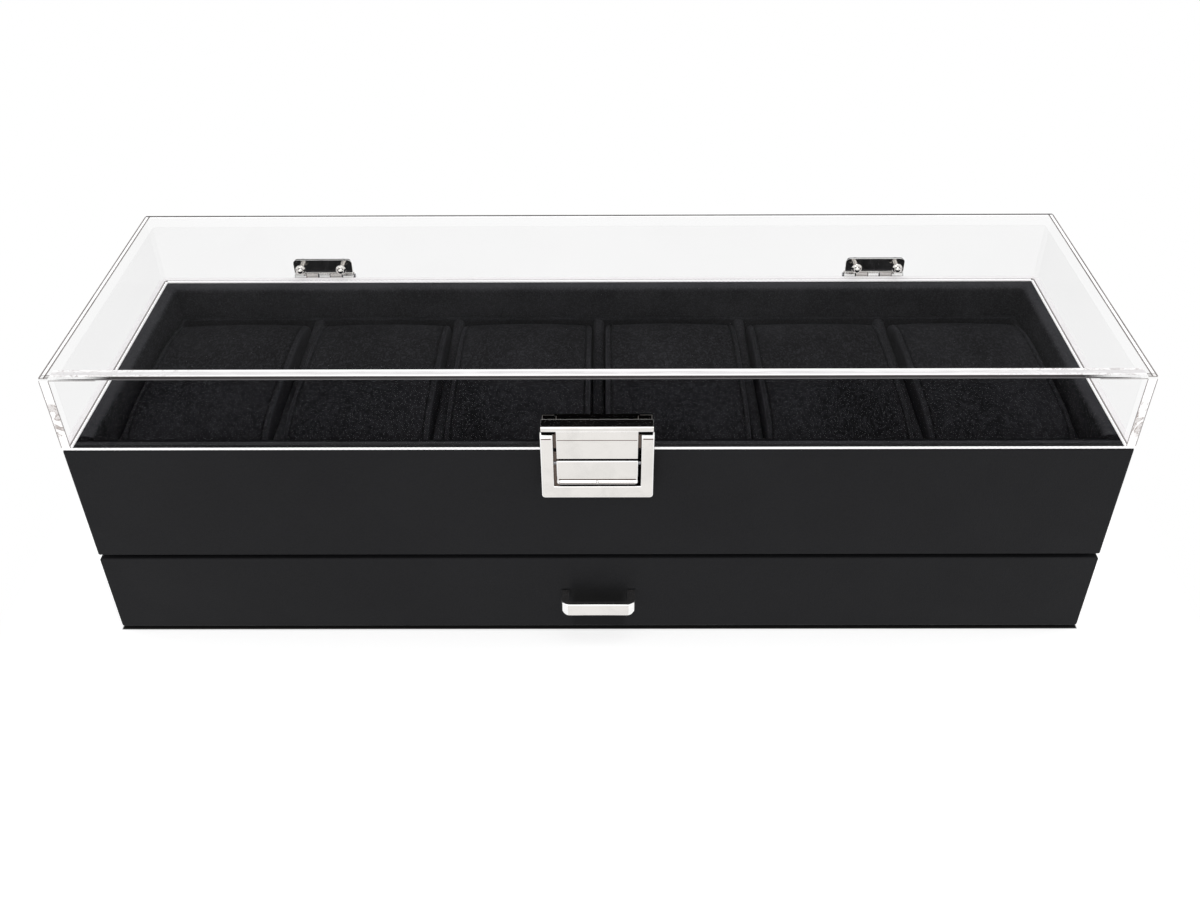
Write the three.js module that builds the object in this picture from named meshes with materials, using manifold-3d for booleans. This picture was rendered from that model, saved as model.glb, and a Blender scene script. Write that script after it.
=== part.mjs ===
// Watch display case: a wrapped box with six pillow cells under a hinged clear lid, over one drawer.
// Millimetres, +Z up, front towards -Y. The origin is the centre of the underside.

import * as THREE from "three";
import { mergeVertices } from "three/addons/utils/BufferGeometryUtils.js";
import Module from "manifold-3d";

const wasm = await Module();
wasm.setup();

// Driving dimensions of the whole case
const caseWidth = 330;
const caseDepth = 106;
const bodyHeight = 78.25;
const lidHeight = 26.25;

// Fits that neighbouring pieces share
const seatGap = 0.3;
const cutOverrun = 4;
const mergeTolerance = 0.0001;
const arcSteps = 5;

// Wrapped boards of the body
const boardThick = 6;
const wrapRound = 1.2;
const feltThick = 1;
const feltInset = 1.5;
const baseThick = 3;
const shelfThick = 3;

// Linings of the tray
const liningThick = 1;
const padThick = 1.2;

// Insert with its dividers
const cellCount = 6;
const insertRecess = 11.95;
const insertWall = 1.9;
const dividerThick = 4;
const dividerRound = 1.4;

// Pillows
const pillowHeight = 33.7;
const pillowSideClearance = 0.6;
const pillowEndClearance = 1;
const pillowSquareness = 3;
const pillowHem = 1.9;
const pillowSeamDepth = 0.5;
const pillowSeamWidth = 0.8;
const pillowCrown = 0.8;
const pillowHemRound = 1.2;
const pillowEndHollow = 0.8;
const pillowRoundSteps = 28;

// Clear sheets of the lid
const sheetThick = 3;

// Drawer
const drawerFrontHeight = 31.8;
const drawerReveal = 1.4;
const drawerSideThick = 4;
const drawerSideHeight = 25;
const drawerSideClearance = 0.7;
const drawerRearClearance = 1.5;
const drawerBottomThick = 3;
const drawerBottomRaise = 2;
const grooveDepth = 1.5;

// Drawer pull, a bent bar
const pullWidth = 25;
const pullReach = 7.6;
const pullTall = 5.6;
const pullBarThick = 2;
const pullLegThick = 3;
const pullOuterRound = 3;
const pullInnerRound = 1;
const pullLowerRound = 1.5;
const pullUpperRound = 0.6;
const pullCentreShare = 0.48;

// Latch frame on the body
const latchWidth = 34.6;
const latchDepth = 5;
const latchArmWidth = 3.95;
const latchDrop = 15.35;
const latchRise = 9.05;
const latchSill = 4.5;
const latchBackThick = 1.2;
const latchBackDrop = 0.75;
const latchArmChamfer = 1.3;
const latchEdgeRound = 0.5;
const latchCornerRound = 1;

// Strike plate on the lid
const tongueSideClearance = 1;
const tongueDrop = 0.35;
const tongueBendRise = 7.05;
const tongueLean = 0.45;
const strikeThick = 1;
const strikeRise = 11.8;
const strikeWingTall = 1.55;
const strikeWingInset = 0.35;
const strikeBackRise = 0.75;

// Catch button in the latch frame
const buttonGap = 0.6;
const buttonSideClearance = 0.95;
const buttonTall = 8.6;
const buttonThick = 1;
const buttonLip = 0.6;
const buttonLipTall = 1.4;
const buttonPivotDrop = 2;
const buttonBoss = 1.3;

// Latch pin and return spring
const runningGap = 0.3;
const latchPinRadius = 0.6;
const springThick = 0.3;
const springWidth = 8;
const springBow = 0.4;
const springTall = 4.6;

// Hinges
const hingeWidth = 22;
const hingeInset = 61.6;
const knuckleRadius = 1.7;
const knuckleCount = 5;
const knuckleGap = 0.3;
const hingePinRadius = 0.8;
const hingePinEnd = 0.4;
const leafThick = 0.9;
const leafTall = 7.7;
const leafCornerRound = 1.6;
const leafHolePitch = 15;
const leafHoleRise = 5.5;

// Screws and nuts
const screwHeadRadius = 1.9;
const screwHeadTall = 1;
const screwShankRadius = 0.9;
const screwHoleClearance = 0.2;
const screwLength = 6;
const nutRadius = 1.9;
const nutTall = 1.9;
const nutBoreDepth = 1.3;
const roundSteps = 16;
const pullScrewHeadRadius = 2.6;
const pullScrewHeadTall = 1.6;
const pullScrewShankRadius = 0.7;
const pullScrewBite = 3;

// Places that follow from the sizes above
const halfWidth = caseWidth / 2;
const halfDepth = caseDepth / 2;
const frontFace = -halfDepth;
const boardBottom = feltThick + seatGap;
const baseTop = boardBottom + baseThick;
const drawerFrontTop = boardBottom + drawerFrontHeight;
const bodyFrontBottom = drawerFrontTop + drawerReveal;
const shelfTop = bodyFrontBottom + shelfThick;
const bayHalfWidth = halfWidth - boardThick;
const bayHalfDepth = halfDepth - boardThick;
const trayHalfWidth = bayHalfWidth - seatGap - liningThick;
const trayHalfDepth = bayHalfDepth - seatGap - liningThick;
const padBottom = shelfTop + seatGap;
const padTop = padBottom + padThick;
const insertBottom = padTop + seatGap;
const insertTop = bodyHeight - insertRecess;
const insertHalfWidth = trayHalfWidth - seatGap;
const insertHalfDepth = trayHalfDepth - seatGap;
const cellsHalfWidth = insertHalfWidth - insertWall;
const cellHalfDepth = insertHalfDepth - insertWall;
const cellWidth = (2 * cellsHalfWidth - (cellCount - 1) * dividerThick) / cellCount;
const cellPitch = cellWidth + dividerThick;
const lidBottom = bodyHeight + seatGap;
const lidTop = bodyHeight + lidHeight;
const sheetUnderside = lidTop - sheetThick;
const wallTop = sheetUnderside - seatGap;
const hingeAxisY = halfDepth + seatGap + knuckleRadius;
const hingeAxisZ = bodyHeight + seatGap / 2;

// Finishes
const leatherette = finish("leatherette", 0x28292a, 0.55, 0);
const blackBoard = finish("black_board", 0x1b1b1c, 0.7, 0);
const suede = finish("suede", 0x1f2024, 0.95, 0);
const blackFelt = finish("felt", 0x17181a, 1, 0);
const acrylic = finish("acrylic", 0xf2f5f6, 0.08, 0);
const chrome = finish("chrome", 0xece8e4, 0.12, 1);
const springSteel = finish("spring_steel", 0xb9babc, 0.35, 1);

acrylic.transparent = true;
acrylic.opacity = 0.3;

function finish(name, color, roughness, metalness) {
  const material = new THREE.MeshStandardMaterial({ color, roughness, metalness });
  material.name = name;
  return material;
}

// A closed three.js geometry as a solid that can be cut and joined.
function solid(geometry) {
  const bare = new THREE.BufferGeometry();
  bare.setAttribute("position", geometry.getAttribute("position"));
  if (geometry.index) {
    bare.setIndex(geometry.index);
  }
  const merged = mergeVertices(bare, mergeTolerance);
  return new wasm.Manifold(new wasm.Mesh({
    numProp: 3,
    vertProperties: merged.attributes.position.array,
    triVerts: new Uint32Array(merged.index.array),
  }));
}

// A solid back as a named mesh.
function piece(name, form, material) {
  const mesh = form.getMesh();
  const geometry = new THREE.BufferGeometry();
  geometry.setAttribute("position", new THREE.BufferAttribute(mesh.vertProperties, mesh.numProp));
  geometry.setIndex(new THREE.BufferAttribute(mesh.triVerts, 1));
  geometry.computeVertexNormals();
  const made = new THREE.Mesh(geometry, material);
  made.name = name;
  return made;
}

// Block between two corners, each range given as [low, high].
function block([x0, x1], [y0, y1], [z0, z1]) {
  const geometry = new THREE.BoxGeometry(x1 - x0, y1 - y0, z1 - z0);
  geometry.translate((x0 + x1) / 2, (y0 + y1) / 2, (z0 + z1) / 2);
  return solid(geometry);
}

// Frames that turn a drawing's own axes to the object's: x draws in YZ, y in XZ and z in XY.
const drawingFrames = {
  x: new THREE.Matrix4().makeBasis(
    new THREE.Vector3(0, 1, 0), new THREE.Vector3(0, 0, 1), new THREE.Vector3(1, 0, 0)),
  y: new THREE.Matrix4().makeBasis(
    new THREE.Vector3(1, 0, 0), new THREE.Vector3(0, 0, 1), new THREE.Vector3(0, -1, 0)),
  z: new THREE.Matrix4(),
};

// Shape drawn across an axis and carried along it from one place to another.
function carried(shape, axis, from, to) {
  const geometry = new THREE.ExtrudeGeometry(shape, {
    depth: to - from,
    bevelEnabled: false,
    curveSegments: arcSteps,
  });
  geometry.applyMatrix4(drawingFrames[axis]);
  const start = axis === "y" ? to : from;
  geometry.translate(axis === "x" ? start : 0, axis === "y" ? start : 0, axis === "z" ? start : 0);
  return solid(geometry);
}

// Rectangle with its own radius at each corner, in the order low-low, high-low, high-high, low-high.
function roundedRectangle([u0, u1], [v0, v1], [a, b, c, d]) {
  const shape = new THREE.Shape();
  const quarter = Math.PI / 2;
  const corner = (u, v, radius, start) => {
    if (radius > 0) {
      shape.absarc(u, v, radius, start, start + quarter, false);
    } else {
      shape.lineTo(u, v);
    }
  };
  shape.moveTo(u0 + a, v0);
  corner(u1 - b, v0 + b, b, -quarter);
  corner(u1 - c, v1 - c, c, 0);
  corner(u0 + d, v1 - d, d, quarter);
  corner(u0 + a, v0 + a, a, Math.PI);
  return shape;
}

// Outline through the given points, closed.
function outline(points) {
  return new THREE.Shape(points.map(([u, v]) => new THREE.Vector2(u, v)));
}

// Bar between two places along an axis, its circle centred on the other two coordinates.
function rod(axis, radius, from, to, u, v) {
  const circle = new THREE.Shape();
  circle.absarc(u, v, radius, 0, 2 * Math.PI, false);
  const points = circle.getPoints(roundSteps / 2).slice(0, -1);
  return carried(new THREE.Shape(points), axis, from, to);
}

// Form turned about an axis along Y from a profile of [radius, distance] steps.
// Distance is counted to the rear, or to the front where facesFront is true.
function turned(profile, x, y, z, facesFront = false) {
  const geometry = new THREE.LatheGeometry(
    profile.map(([radius, along]) => new THREE.Vector2(radius, along)), roundSteps);
  if (facesFront) {
    geometry.rotateX(Math.PI);
  }
  geometry.translate(x, y, z);
  return solid(geometry);
}

// Wrapped board across the front or rear, its outer edges rounded as the wrap folds over them.
function wrappedFace(yOuter, yInner, bottom, top) {
  const low = Math.min(yOuter, yInner);
  const high = Math.max(yOuter, yInner);
  const front = yOuter < yInner;
  const roundsFor = (isFront) => (isFront
    ? [wrapRound, wrapRound, 0, 0]
    : [0, 0, wrapRound, wrapRound]);
  const plan = roundedRectangle([-halfWidth, halfWidth], [low, high], roundsFor(front));
  const section = roundedRectangle([low, high], [bottom, top],
    front ? [wrapRound, 0, 0, wrapRound] : [0, wrapRound, wrapRound, 0]);
  return carried(plan, "z", bottom, top).intersect(
    carried(section, "x", -halfWidth, halfWidth));
}

// Body boards
function frontBoard() {
  return wrappedFace(frontFace, frontFace + boardThick, bodyFrontBottom, bodyHeight);
}

function backBoard() {
  let board = wrappedFace(halfDepth, halfDepth - boardThick, boardBottom, bodyHeight);
  for (const x of bodyScrewPlaces()) {
    board = board.subtract(screwHole("y", x, halfDepth - screwDepth(), halfDepth + cutOverrun,
      hingeAxisZ - leafHoleRise));
  }
  return board;
}

function sideBoard(side) {
  const outer = side * halfWidth;
  const inner = side * bayHalfWidth;
  const section = roundedRectangle(
    [Math.min(outer, inner), Math.max(outer, inner)], [boardBottom, bodyHeight],
    side < 0 ? [wrapRound, 0, 0, wrapRound] : [0, wrapRound, wrapRound, 0]);
  return carried(section, "y", -bayHalfDepth + seatGap, bayHalfDepth - seatGap);
}

function deckBoard(bottom, thick) {
  const x = bayHalfWidth - seatGap;
  const y = bayHalfDepth - seatGap;
  return block([-x, x], [-y, y], [bottom, bottom + thick]);
}

function baseFelt() {
  const x = halfWidth - feltInset;
  const rear = halfDepth - feltInset;
  const front = frontFace + boardThick + seatGap;
  const sheet = roundedRectangle([-x, x], [front, rear], [feltInset, feltInset, feltInset, feltInset]);
  return carried(sheet, "z", 0, feltThick);
}

// Linings and insert
function ring(outerX, outerY, wall, bottom, top) {
  const tube = block([-outerX, outerX], [-outerY, outerY], [bottom, top]);
  const innerX = outerX - wall;
  const innerY = outerY - wall;
  return tube.subtract(block([-innerX, innerX], [-innerY, innerY],
    [bottom - cutOverrun, top + cutOverrun]));
}

function trayLining() {
  return ring(bayHalfWidth - seatGap, bayHalfDepth - seatGap, liningThick,
    shelfTop + seatGap, bodyHeight);
}

function trayFloorPad() {
  return block([-insertHalfWidth, insertHalfWidth], [-insertHalfDepth, insertHalfDepth],
    [padBottom, padTop]);
}

function insertFrame() {
  return ring(insertHalfWidth, insertHalfDepth, insertWall, insertBottom, insertTop);
}

function divider(index) {
  const centre = (index - cellCount / 2) * cellPitch;
  const half = dividerThick / 2;
  const section = roundedRectangle([centre - half, centre + half], [insertBottom, insertTop],
    [0, 0, dividerRound, dividerRound]);
  return carried(section, "y", -cellHalfDepth + seatGap, cellHalfDepth - seatGap);
}

// Rings of a pillow from its middle outwards, as [distance from the middle, inset of the section].
function pillowRings(half) {
  const seam = half - pillowHem;
  const groove = pillowSeamWidth / 2;
  const crownStepShares = [0, 0.5, 0.85];
  const turnShares = [0.3, 0.6, 0.85, 1];
  const rings = crownStepShares.map((share) => {
    const place = share * (seam - groove);
    return [place, pillowCrown * share ** 2];
  });
  rings.push([seam - groove, pillowCrown]);
  rings.push([seam, pillowCrown + pillowSeamDepth]);
  rings.push([seam + groove, pillowCrown]);
  const turnStart = half - pillowHemRound;
  rings.push([turnStart, pillowCrown]);
  for (const share of turnShares) {
    const angle = share * Math.PI / 2;
    rings.push([
      turnStart + pillowHemRound * Math.sin(angle),
      pillowCrown + pillowHemRound * (1 - Math.cos(angle)),
    ]);
  }
  return rings;
}

// Squarish roll across the cell: a superellipse section carried along X, drawn in at its two seams,
// with rounded hems and end faces that are drawn in towards their middle.
function pillow(index) {
  const half = cellWidth / 2 - pillowSideClearance;
  const centreX = (index - (cellCount - 1) / 2) * cellPitch;
  const a = cellHalfDepth - pillowEndClearance;
  const b = pillowHeight / 2;
  const centreZ = insertBottom + b;
  const outwards = pillowRings(half);
  const mirrored = outwards.slice(1).reverse().map(([place, inset]) => [-place, inset]);
  const rings = [...mirrored, ...outwards];
  const power = 2 / pillowSquareness;
  const positions = [];
  for (const [place, inset] of rings) {
    for (let step = 0; step < pillowRoundSteps; step += 1) {
      const angle = 2 * Math.PI * step / pillowRoundSteps;
      const c = Math.cos(angle);
      const s = Math.sin(angle);
      positions.push(
        centreX + place,
        (a - inset) * Math.sign(c) * Math.abs(c) ** power,
        centreZ + (b - inset) * Math.sign(s) * Math.abs(s) ** power,
      );
    }
  }
  const firstPole = positions.length / 3;
  positions.push(centreX - half + pillowEndHollow, 0, centreZ);
  positions.push(centreX + half - pillowEndHollow, 0, centreZ);
  const faces = [];
  for (let step = 0; step < pillowRoundSteps; step += 1) {
    const next = (step + 1) % pillowRoundSteps;
    for (let row = 0; row < rings.length - 1; row += 1) {
      const here = row * pillowRoundSteps;
      const there = here + pillowRoundSteps;
      faces.push(here + step, here + next, there + next);
      faces.push(here + step, there + next, there + step);
    }
    const last = (rings.length - 1) * pillowRoundSteps;
    faces.push(firstPole, next, step);
    faces.push(firstPole + 1, last + step, last + next);
  }
  const geometry = new THREE.BufferGeometry();
  geometry.setAttribute("position", new THREE.Float32BufferAttribute(positions, 3));
  geometry.setIndex(faces);
  return solid(geometry);
}

// Clear sheets: the front and rear run the full width and the ends stand between them.
function lidTopSheet() {
  return block([-halfWidth, halfWidth], [-halfDepth, halfDepth], [sheetUnderside, lidTop]);
}

function lidFrontSheet() {
  return block([-halfWidth, halfWidth], [frontFace, frontFace + sheetThick], [lidBottom, wallTop]);
}

function lidBackSheet() {
  let sheet = block([-halfWidth, halfWidth], [halfDepth - sheetThick, halfDepth],
    [lidBottom, wallTop]);
  for (const x of bodyScrewPlaces()) {
    sheet = sheet.subtract(screwHole("y", x, halfDepth - sheetThick - cutOverrun,
      halfDepth + cutOverrun, hingeAxisZ + leafHoleRise));
  }
  return sheet;
}

function lidEndSheet(side) {
  const outer = side * halfWidth;
  const inner = side * (halfWidth - sheetThick);
  const y = halfDepth - sheetThick - seatGap;
  return block([Math.min(outer, inner), Math.max(outer, inner)], [-y, y], [lidBottom, wallTop]);
}

// Hinges
function hingeCentre(side) {
  return side * (halfWidth - hingeInset);
}

function bodyScrewPlaces() {
  const half = leafHolePitch / 2;
  return [-1, 1].flatMap((side) => [hingeCentre(side) - half, hingeCentre(side) + half]);
}

function screwDepth() {
  return screwLength - screwHeadTall + screwHoleClearance;
}

function screwHole(axis, x, from, to, z) {
  return rod(axis, screwShankRadius + screwHoleClearance, from, to, x, z);
}

// Leaf with its share of the knuckles; direction is 1 for the leaf that stands up and -1 for the other.
function hingeLeaf(side, direction) {
  const centre = hingeCentre(side);
  const half = hingeWidth / 2;
  const plateFront = halfDepth + seatGap;
  const plateBack = plateFront + leafThick;
  const clearance = knuckleRadius + knuckleGap;
  const plateRounds = direction > 0
    ? [0, 0, leafCornerRound, leafCornerRound]
    : [leafCornerRound, leafCornerRound, 0, 0];
  const plateEnds = [hingeAxisZ + direction * clearance, hingeAxisZ + direction * leafTall]
    .sort((low, high) => low - high);
  const plate = roundedRectangle([centre - half, centre + half], plateEnds, plateRounds);
  let leaf = carried(plate, "y", plateFront, plateBack);
  const pitch = (hingeWidth + knuckleGap) / knuckleCount;
  const first = direction > 0 ? 1 : 0;
  const neck = [hingeAxisZ, hingeAxisZ + direction * (clearance + leafThick)]
    .sort((low, high) => low - high);
  for (let index = first; index < knuckleCount; index += 2) {
    const x0 = centre - half + index * pitch;
    const x1 = x0 + pitch - knuckleGap;
    leaf = leaf.add(block([x0, x1], [plateFront, plateBack], neck));
    leaf = leaf.add(rod("x", knuckleRadius, x0, x1, hingeAxisY, hingeAxisZ));
  }
  leaf = leaf.subtract(rod("x", hingePinRadius + runningGap,
    centre - half - cutOverrun, centre + half + cutOverrun, hingeAxisY, hingeAxisZ));
  for (const offset of [-leafHolePitch / 2, leafHolePitch / 2]) {
    leaf = leaf.subtract(screwHole("y", centre + offset, plateFront - cutOverrun,
      plateBack + cutOverrun, hingeAxisZ + direction * leafHoleRise));
  }
  return leaf;
}

function hingePin(side) {
  const half = hingeWidth / 2 + hingePinEnd;
  const centre = hingeCentre(side);
  return rod("x", hingePinRadius, centre - half, centre + half, hingeAxisY, hingeAxisZ);
}

// Profile of a round-headed screw: along is 0 under the head, positive through the head.
function screwProfile(headRadius, headTall, shankRadius, shankLength) {
  const crownShares = [[1, 0.35], [0.85, 0.75], [0.5, 0.97]];
  return [
    [0, -shankLength],
    [shankRadius, -shankLength],
    [shankRadius, 0],
    [headRadius, 0],
    ...crownShares.map(([out, up]) => [out * headRadius, up * headTall]),
    [0, headTall],
  ];
}

function bodyScrew(x) {
  const underHead = halfDepth + seatGap + leafThick + seatGap;
  const shank = underHead - halfDepth + screwDepth() - screwHoleClearance - seatGap;
  return turned(screwProfile(screwHeadRadius, screwHeadTall, screwShankRadius, shank),
    x, underHead, hingeAxisZ - leafHoleRise);
}

// Bolt through the lid leaf and the rear sheet, its tip inside the cap nut.
function lidBolt(x) {
  const underHead = halfDepth + seatGap + leafThick + seatGap;
  const nutFace = halfDepth - sheetThick - seatGap;
  const shank = underHead - nutFace + nutBoreDepth - seatGap;
  return turned(screwProfile(screwHeadRadius, screwHeadTall, screwShankRadius, shank),
    x, underHead, hingeAxisZ + leafHoleRise);
}

function capNut(x) {
  const bore = screwShankRadius + screwHoleClearance;
  const domeShares = [[1, 0.55], [0.8, 0.85], [0.45, 0.98]];
  const profile = [
    [0, nutBoreDepth],
    [bore, nutBoreDepth],
    [bore, 0],
    [nutRadius, 0],
    ...domeShares.map(([out, up]) => [out * nutRadius, up * nutTall]),
    [0, nutTall],
  ];
  return turned(profile, x, halfDepth - sheetThick - seatGap, hingeAxisZ + leafHoleRise, true);
}

// Latch frame: a window with two arms that stand up in front of the lid, on a back plate.
const latchHalf = latchWidth / 2;
const windowHalf = latchHalf - latchArmWidth;
const latchFront = frontFace - latchDepth;
const latchBack = frontFace - seatGap;
const latchBottom = bodyHeight - latchDrop;
const latchTop = bodyHeight + latchRise;
const windowBottom = latchBottom + latchSill;
const backPlateFront = latchBack - latchBackThick;
const tongueBottom = bodyHeight - tongueDrop;
const buttonTop = tongueBottom - buttonGap;
const buttonBottom = buttonTop - buttonTall;
const pivotY = backPlateFront - seatGap - buttonBoss;
const pivotZ = buttonTop - buttonPivotDrop;

function latchFrame() {
  const face = roundedRectangle([-latchHalf, latchHalf], [latchBottom, latchTop],
    [latchCornerRound, latchCornerRound, latchEdgeRound, latchEdgeRound]);
  const section = outline([
    [latchBack, latchBottom],
    [latchBack, latchTop],
    [latchFront + latchArmChamfer, latchTop],
    [latchFront, latchTop - latchArmChamfer],
    [latchFront, latchBottom + latchEdgeRound],
    [latchFront + latchEdgeRound, latchBottom],
  ]);
  const plan = roundedRectangle([-latchHalf, latchHalf], [latchFront, latchBack],
    [latchEdgeRound, latchEdgeRound, 0, 0]);
  const window = block([-windowHalf, windowHalf], [latchFront - cutOverrun, backPlateFront],
    [windowBottom, latchTop + cutOverrun]);
  const lidRoom = block([-windowHalf, windowHalf], [backPlateFront - cutOverrun, latchBack + cutOverrun],
    [bodyHeight - latchBackDrop, latchTop + cutOverrun]);
  return carried(face, "y", latchFront, latchBack)
    .intersect(carried(section, "x", -latchHalf, latchHalf))
    .intersect(carried(plan, "z", latchBottom, latchTop))
    .subtract(window)
    .subtract(lidRoom)
    .subtract(rod("x", latchPinRadius + runningGap, -latchHalf - cutOverrun,
      latchHalf + cutOverrun, pivotY, pivotZ));
}

function latchPin() {
  const half = latchHalf - seatGap;
  return rod("x", latchPinRadius, -half, half, pivotY, pivotZ);
}

// Catch button: a flap with an outward lip and a boss along its pin.
function latchButton() {
  const half = windowHalf - buttonSideClearance;
  const front = latchFront;
  const back = front + buttonThick;
  const section = outline([
    [front, buttonTop],
    [front, buttonBottom + buttonLipTall],
    [front - buttonLip, buttonBottom + buttonLip],
    [front - buttonLip, buttonBottom],
    [front + buttonThick / 2, buttonBottom],
    [back, buttonBottom + buttonLipTall],
    [back, pivotZ - buttonBoss],
    [pivotY, pivotZ - buttonBoss],
    [pivotY, pivotZ + buttonBoss],
    [back, buttonTop],
  ]);
  const face = roundedRectangle([-half, half], [buttonBottom, buttonTop],
    [latchCornerRound, latchCornerRound, 0, 0]);
  return carried(section, "x", -half, half)
    .add(rod("x", buttonBoss, -half, half, pivotY, pivotZ))
    .intersect(carried(face, "y", front - cutOverrun, pivotY + cutOverrun))
    .subtract(rod("x", latchPinRadius + runningGap, -half - cutOverrun, half + cutOverrun,
      pivotY, pivotZ));
}

// Return spring: a flat leaf on the back plate whose lower end bows out towards the flap.
function latchSpring() {
  const seat = backPlateFront - seatGap;
  const bottom = windowBottom + seatGap;
  const bowShares = [[0, 0], [0.25, 0.1], [0.5, 0.35], [0.75, 0.7], [1, 1]];
  const front = bowShares.map(([down, out]) => [
    seat - springThick - out * springBow,
    bottom + springTall * (1 - down),
  ]);
  const back = bowShares.map(([down, out]) => [
    seat - out * springBow,
    bottom + springTall * (1 - down),
  ]);
  return carried(outline([...front, ...back.reverse()]), "x", -springWidth / 2, springWidth / 2);
}

// Strike plate: sheet folded over its top, with a tongue in front, a leaf behind and two wings.
function strikePlate() {
  const half = windowHalf - tongueSideClearance;
  const wingHalf = latchHalf - strikeWingInset;
  const top = bodyHeight + strikeRise;
  const bend = bodyHeight + tongueBendRise;
  const backBottom = bodyHeight + strikeBackRise;
  const section = outline([
    [latchFront + latchEdgeRound, top],
    [latchFront, top - latchEdgeRound],
    [latchFront, bend],
    [latchFront + tongueLean, tongueBottom],
    [latchFront + tongueLean + strikeThick, tongueBottom],
    [latchFront + strikeThick, bend],
    [latchFront + strikeThick, top - strikeThick],
    [latchBack - strikeThick, top - strikeThick],
    [latchBack - strikeThick, backBottom],
    [latchBack, backBottom],
    [latchBack, top],
  ]);
  const wing = roundedRectangle([latchFront, latchBack], [top - strikeWingTall, top],
    [0, 0, 0, latchEdgeRound]);
  return carried(section, "x", -half, half).add(carried(wing, "x", -wingHalf, wingHalf));
}

// Drawer
const boxHalfWidth = bayHalfWidth - drawerSideClearance;
const boxFront = frontFace + boardThick + seatGap;
const boxRear = bayHalfDepth - drawerRearClearance;
const boxBottom = baseTop + seatGap;
const boxTop = boxBottom + drawerSideHeight;
const drawerFloorBottom = boxBottom + drawerBottomRaise;
const drawerFloorTop = drawerFloorBottom + drawerBottomThick;
const boxInnerHalf = boxHalfWidth - drawerSideThick;
const pullCentreZ = boardBottom + pullCentreShare * drawerFrontHeight;
const pullScrewOffset = (pullWidth - pullLegThick) / 2;

function pullScrewPlaces() {
  return [-pullScrewOffset, pullScrewOffset];
}

function drawerFront() {
  const inner = frontFace + boardThick;
  const plan = roundedRectangle([-halfWidth, halfWidth], [frontFace, inner],
    [wrapRound, wrapRound, 0, 0]);
  const section = roundedRectangle([frontFace, inner], [boardBottom, drawerFrontTop],
    [wrapRound, 0, 0, wrapRound]);
  let front = carried(plan, "z", boardBottom, drawerFrontTop).intersect(
    carried(section, "x", -halfWidth, halfWidth));
  front = front.subtract(block(
    [-boxInnerHalf - grooveDepth, boxInnerHalf + grooveDepth], [inner - grooveDepth, inner + cutOverrun],
    [drawerFloorBottom - seatGap, drawerFloorTop + seatGap]));
  for (const x of pullScrewPlaces()) {
    front = front.subtract(rod("y", pullScrewShankRadius + screwHoleClearance,
      frontFace - cutOverrun, inner + cutOverrun, x, pullCentreZ));
  }
  return front;
}

function drawerSide(side) {
  const outer = side * boxHalfWidth;
  const inner = side * boxInnerHalf;
  const range = [Math.min(outer, inner), Math.max(outer, inner)];
  const groove = [inner - grooveDepth, inner + grooveDepth];
  return block(range, [boxFront, boxRear], [boxBottom, boxTop]).subtract(
    block(groove, [boxFront - cutOverrun, boxRear + cutOverrun],
      [drawerFloorBottom - seatGap, drawerFloorTop + seatGap]));
}

function drawerBack() {
  const half = boxInnerHalf - seatGap;
  return block([-half, half], [boxRear - drawerSideThick, boxRear],
    [drawerFloorTop + seatGap, boxTop]);
}

function drawerBottom() {
  const half = boxInnerHalf + grooveDepth - seatGap;
  return block([-half, half], [frontFace + boardThick - grooveDepth + seatGap, boxRear],
    [drawerFloorBottom, drawerFloorTop]);
}

function drawerPad() {
  const half = boxInnerHalf - seatGap;
  const bottom = drawerFloorTop + seatGap;
  return block([-half, half], [boxFront, boxRear - drawerSideThick - seatGap],
    [bottom, bottom + padThick]);
}

// Pull: a bar bent back at both ends, its feet against the drawer front.
function drawerPull() {
  const half = pullWidth / 2;
  const back = frontFace - seatGap;
  const front = frontFace - pullReach;
  const bottom = pullCentreZ - pullTall / 2;
  const top = pullCentreZ + pullTall / 2;
  const outer = roundedRectangle([-half, half], [front, back], [pullOuterRound, pullOuterRound, 0, 0]);
  const innerHalf = half - pullLegThick;
  const inner = roundedRectangle([-innerHalf, innerHalf], [front + pullBarThick, back + cutOverrun],
    [pullInnerRound, pullInnerRound, 0, 0]);
  const face = roundedRectangle([-half, half], [bottom, top],
    [pullLowerRound, pullLowerRound, pullUpperRound, pullUpperRound]);
  let pull = carried(outer, "z", bottom, top)
    .subtract(carried(inner, "z", bottom - cutOverrun, top + cutOverrun))
    .intersect(carried(face, "y", front - cutOverrun, back + cutOverrun));
  for (const x of pullScrewPlaces()) {
    pull = pull.subtract(rod("y", pullScrewShankRadius + screwHoleClearance,
      back - pullScrewBite - screwHoleClearance, back + cutOverrun, x, pullCentreZ));
  }
  return pull;
}

function pullScrew(x) {
  const underHead = frontFace + boardThick + seatGap;
  const shank = underHead - (frontFace - seatGap) + pullScrewBite - screwHoleClearance;
  return turned(screwProfile(pullScrewHeadRadius, pullScrewHeadTall, pullScrewShankRadius, shank),
    x, underHead, pullCentreZ);
}

// Assembly
const sides = [["left", -1], ["right", 1]];

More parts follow.
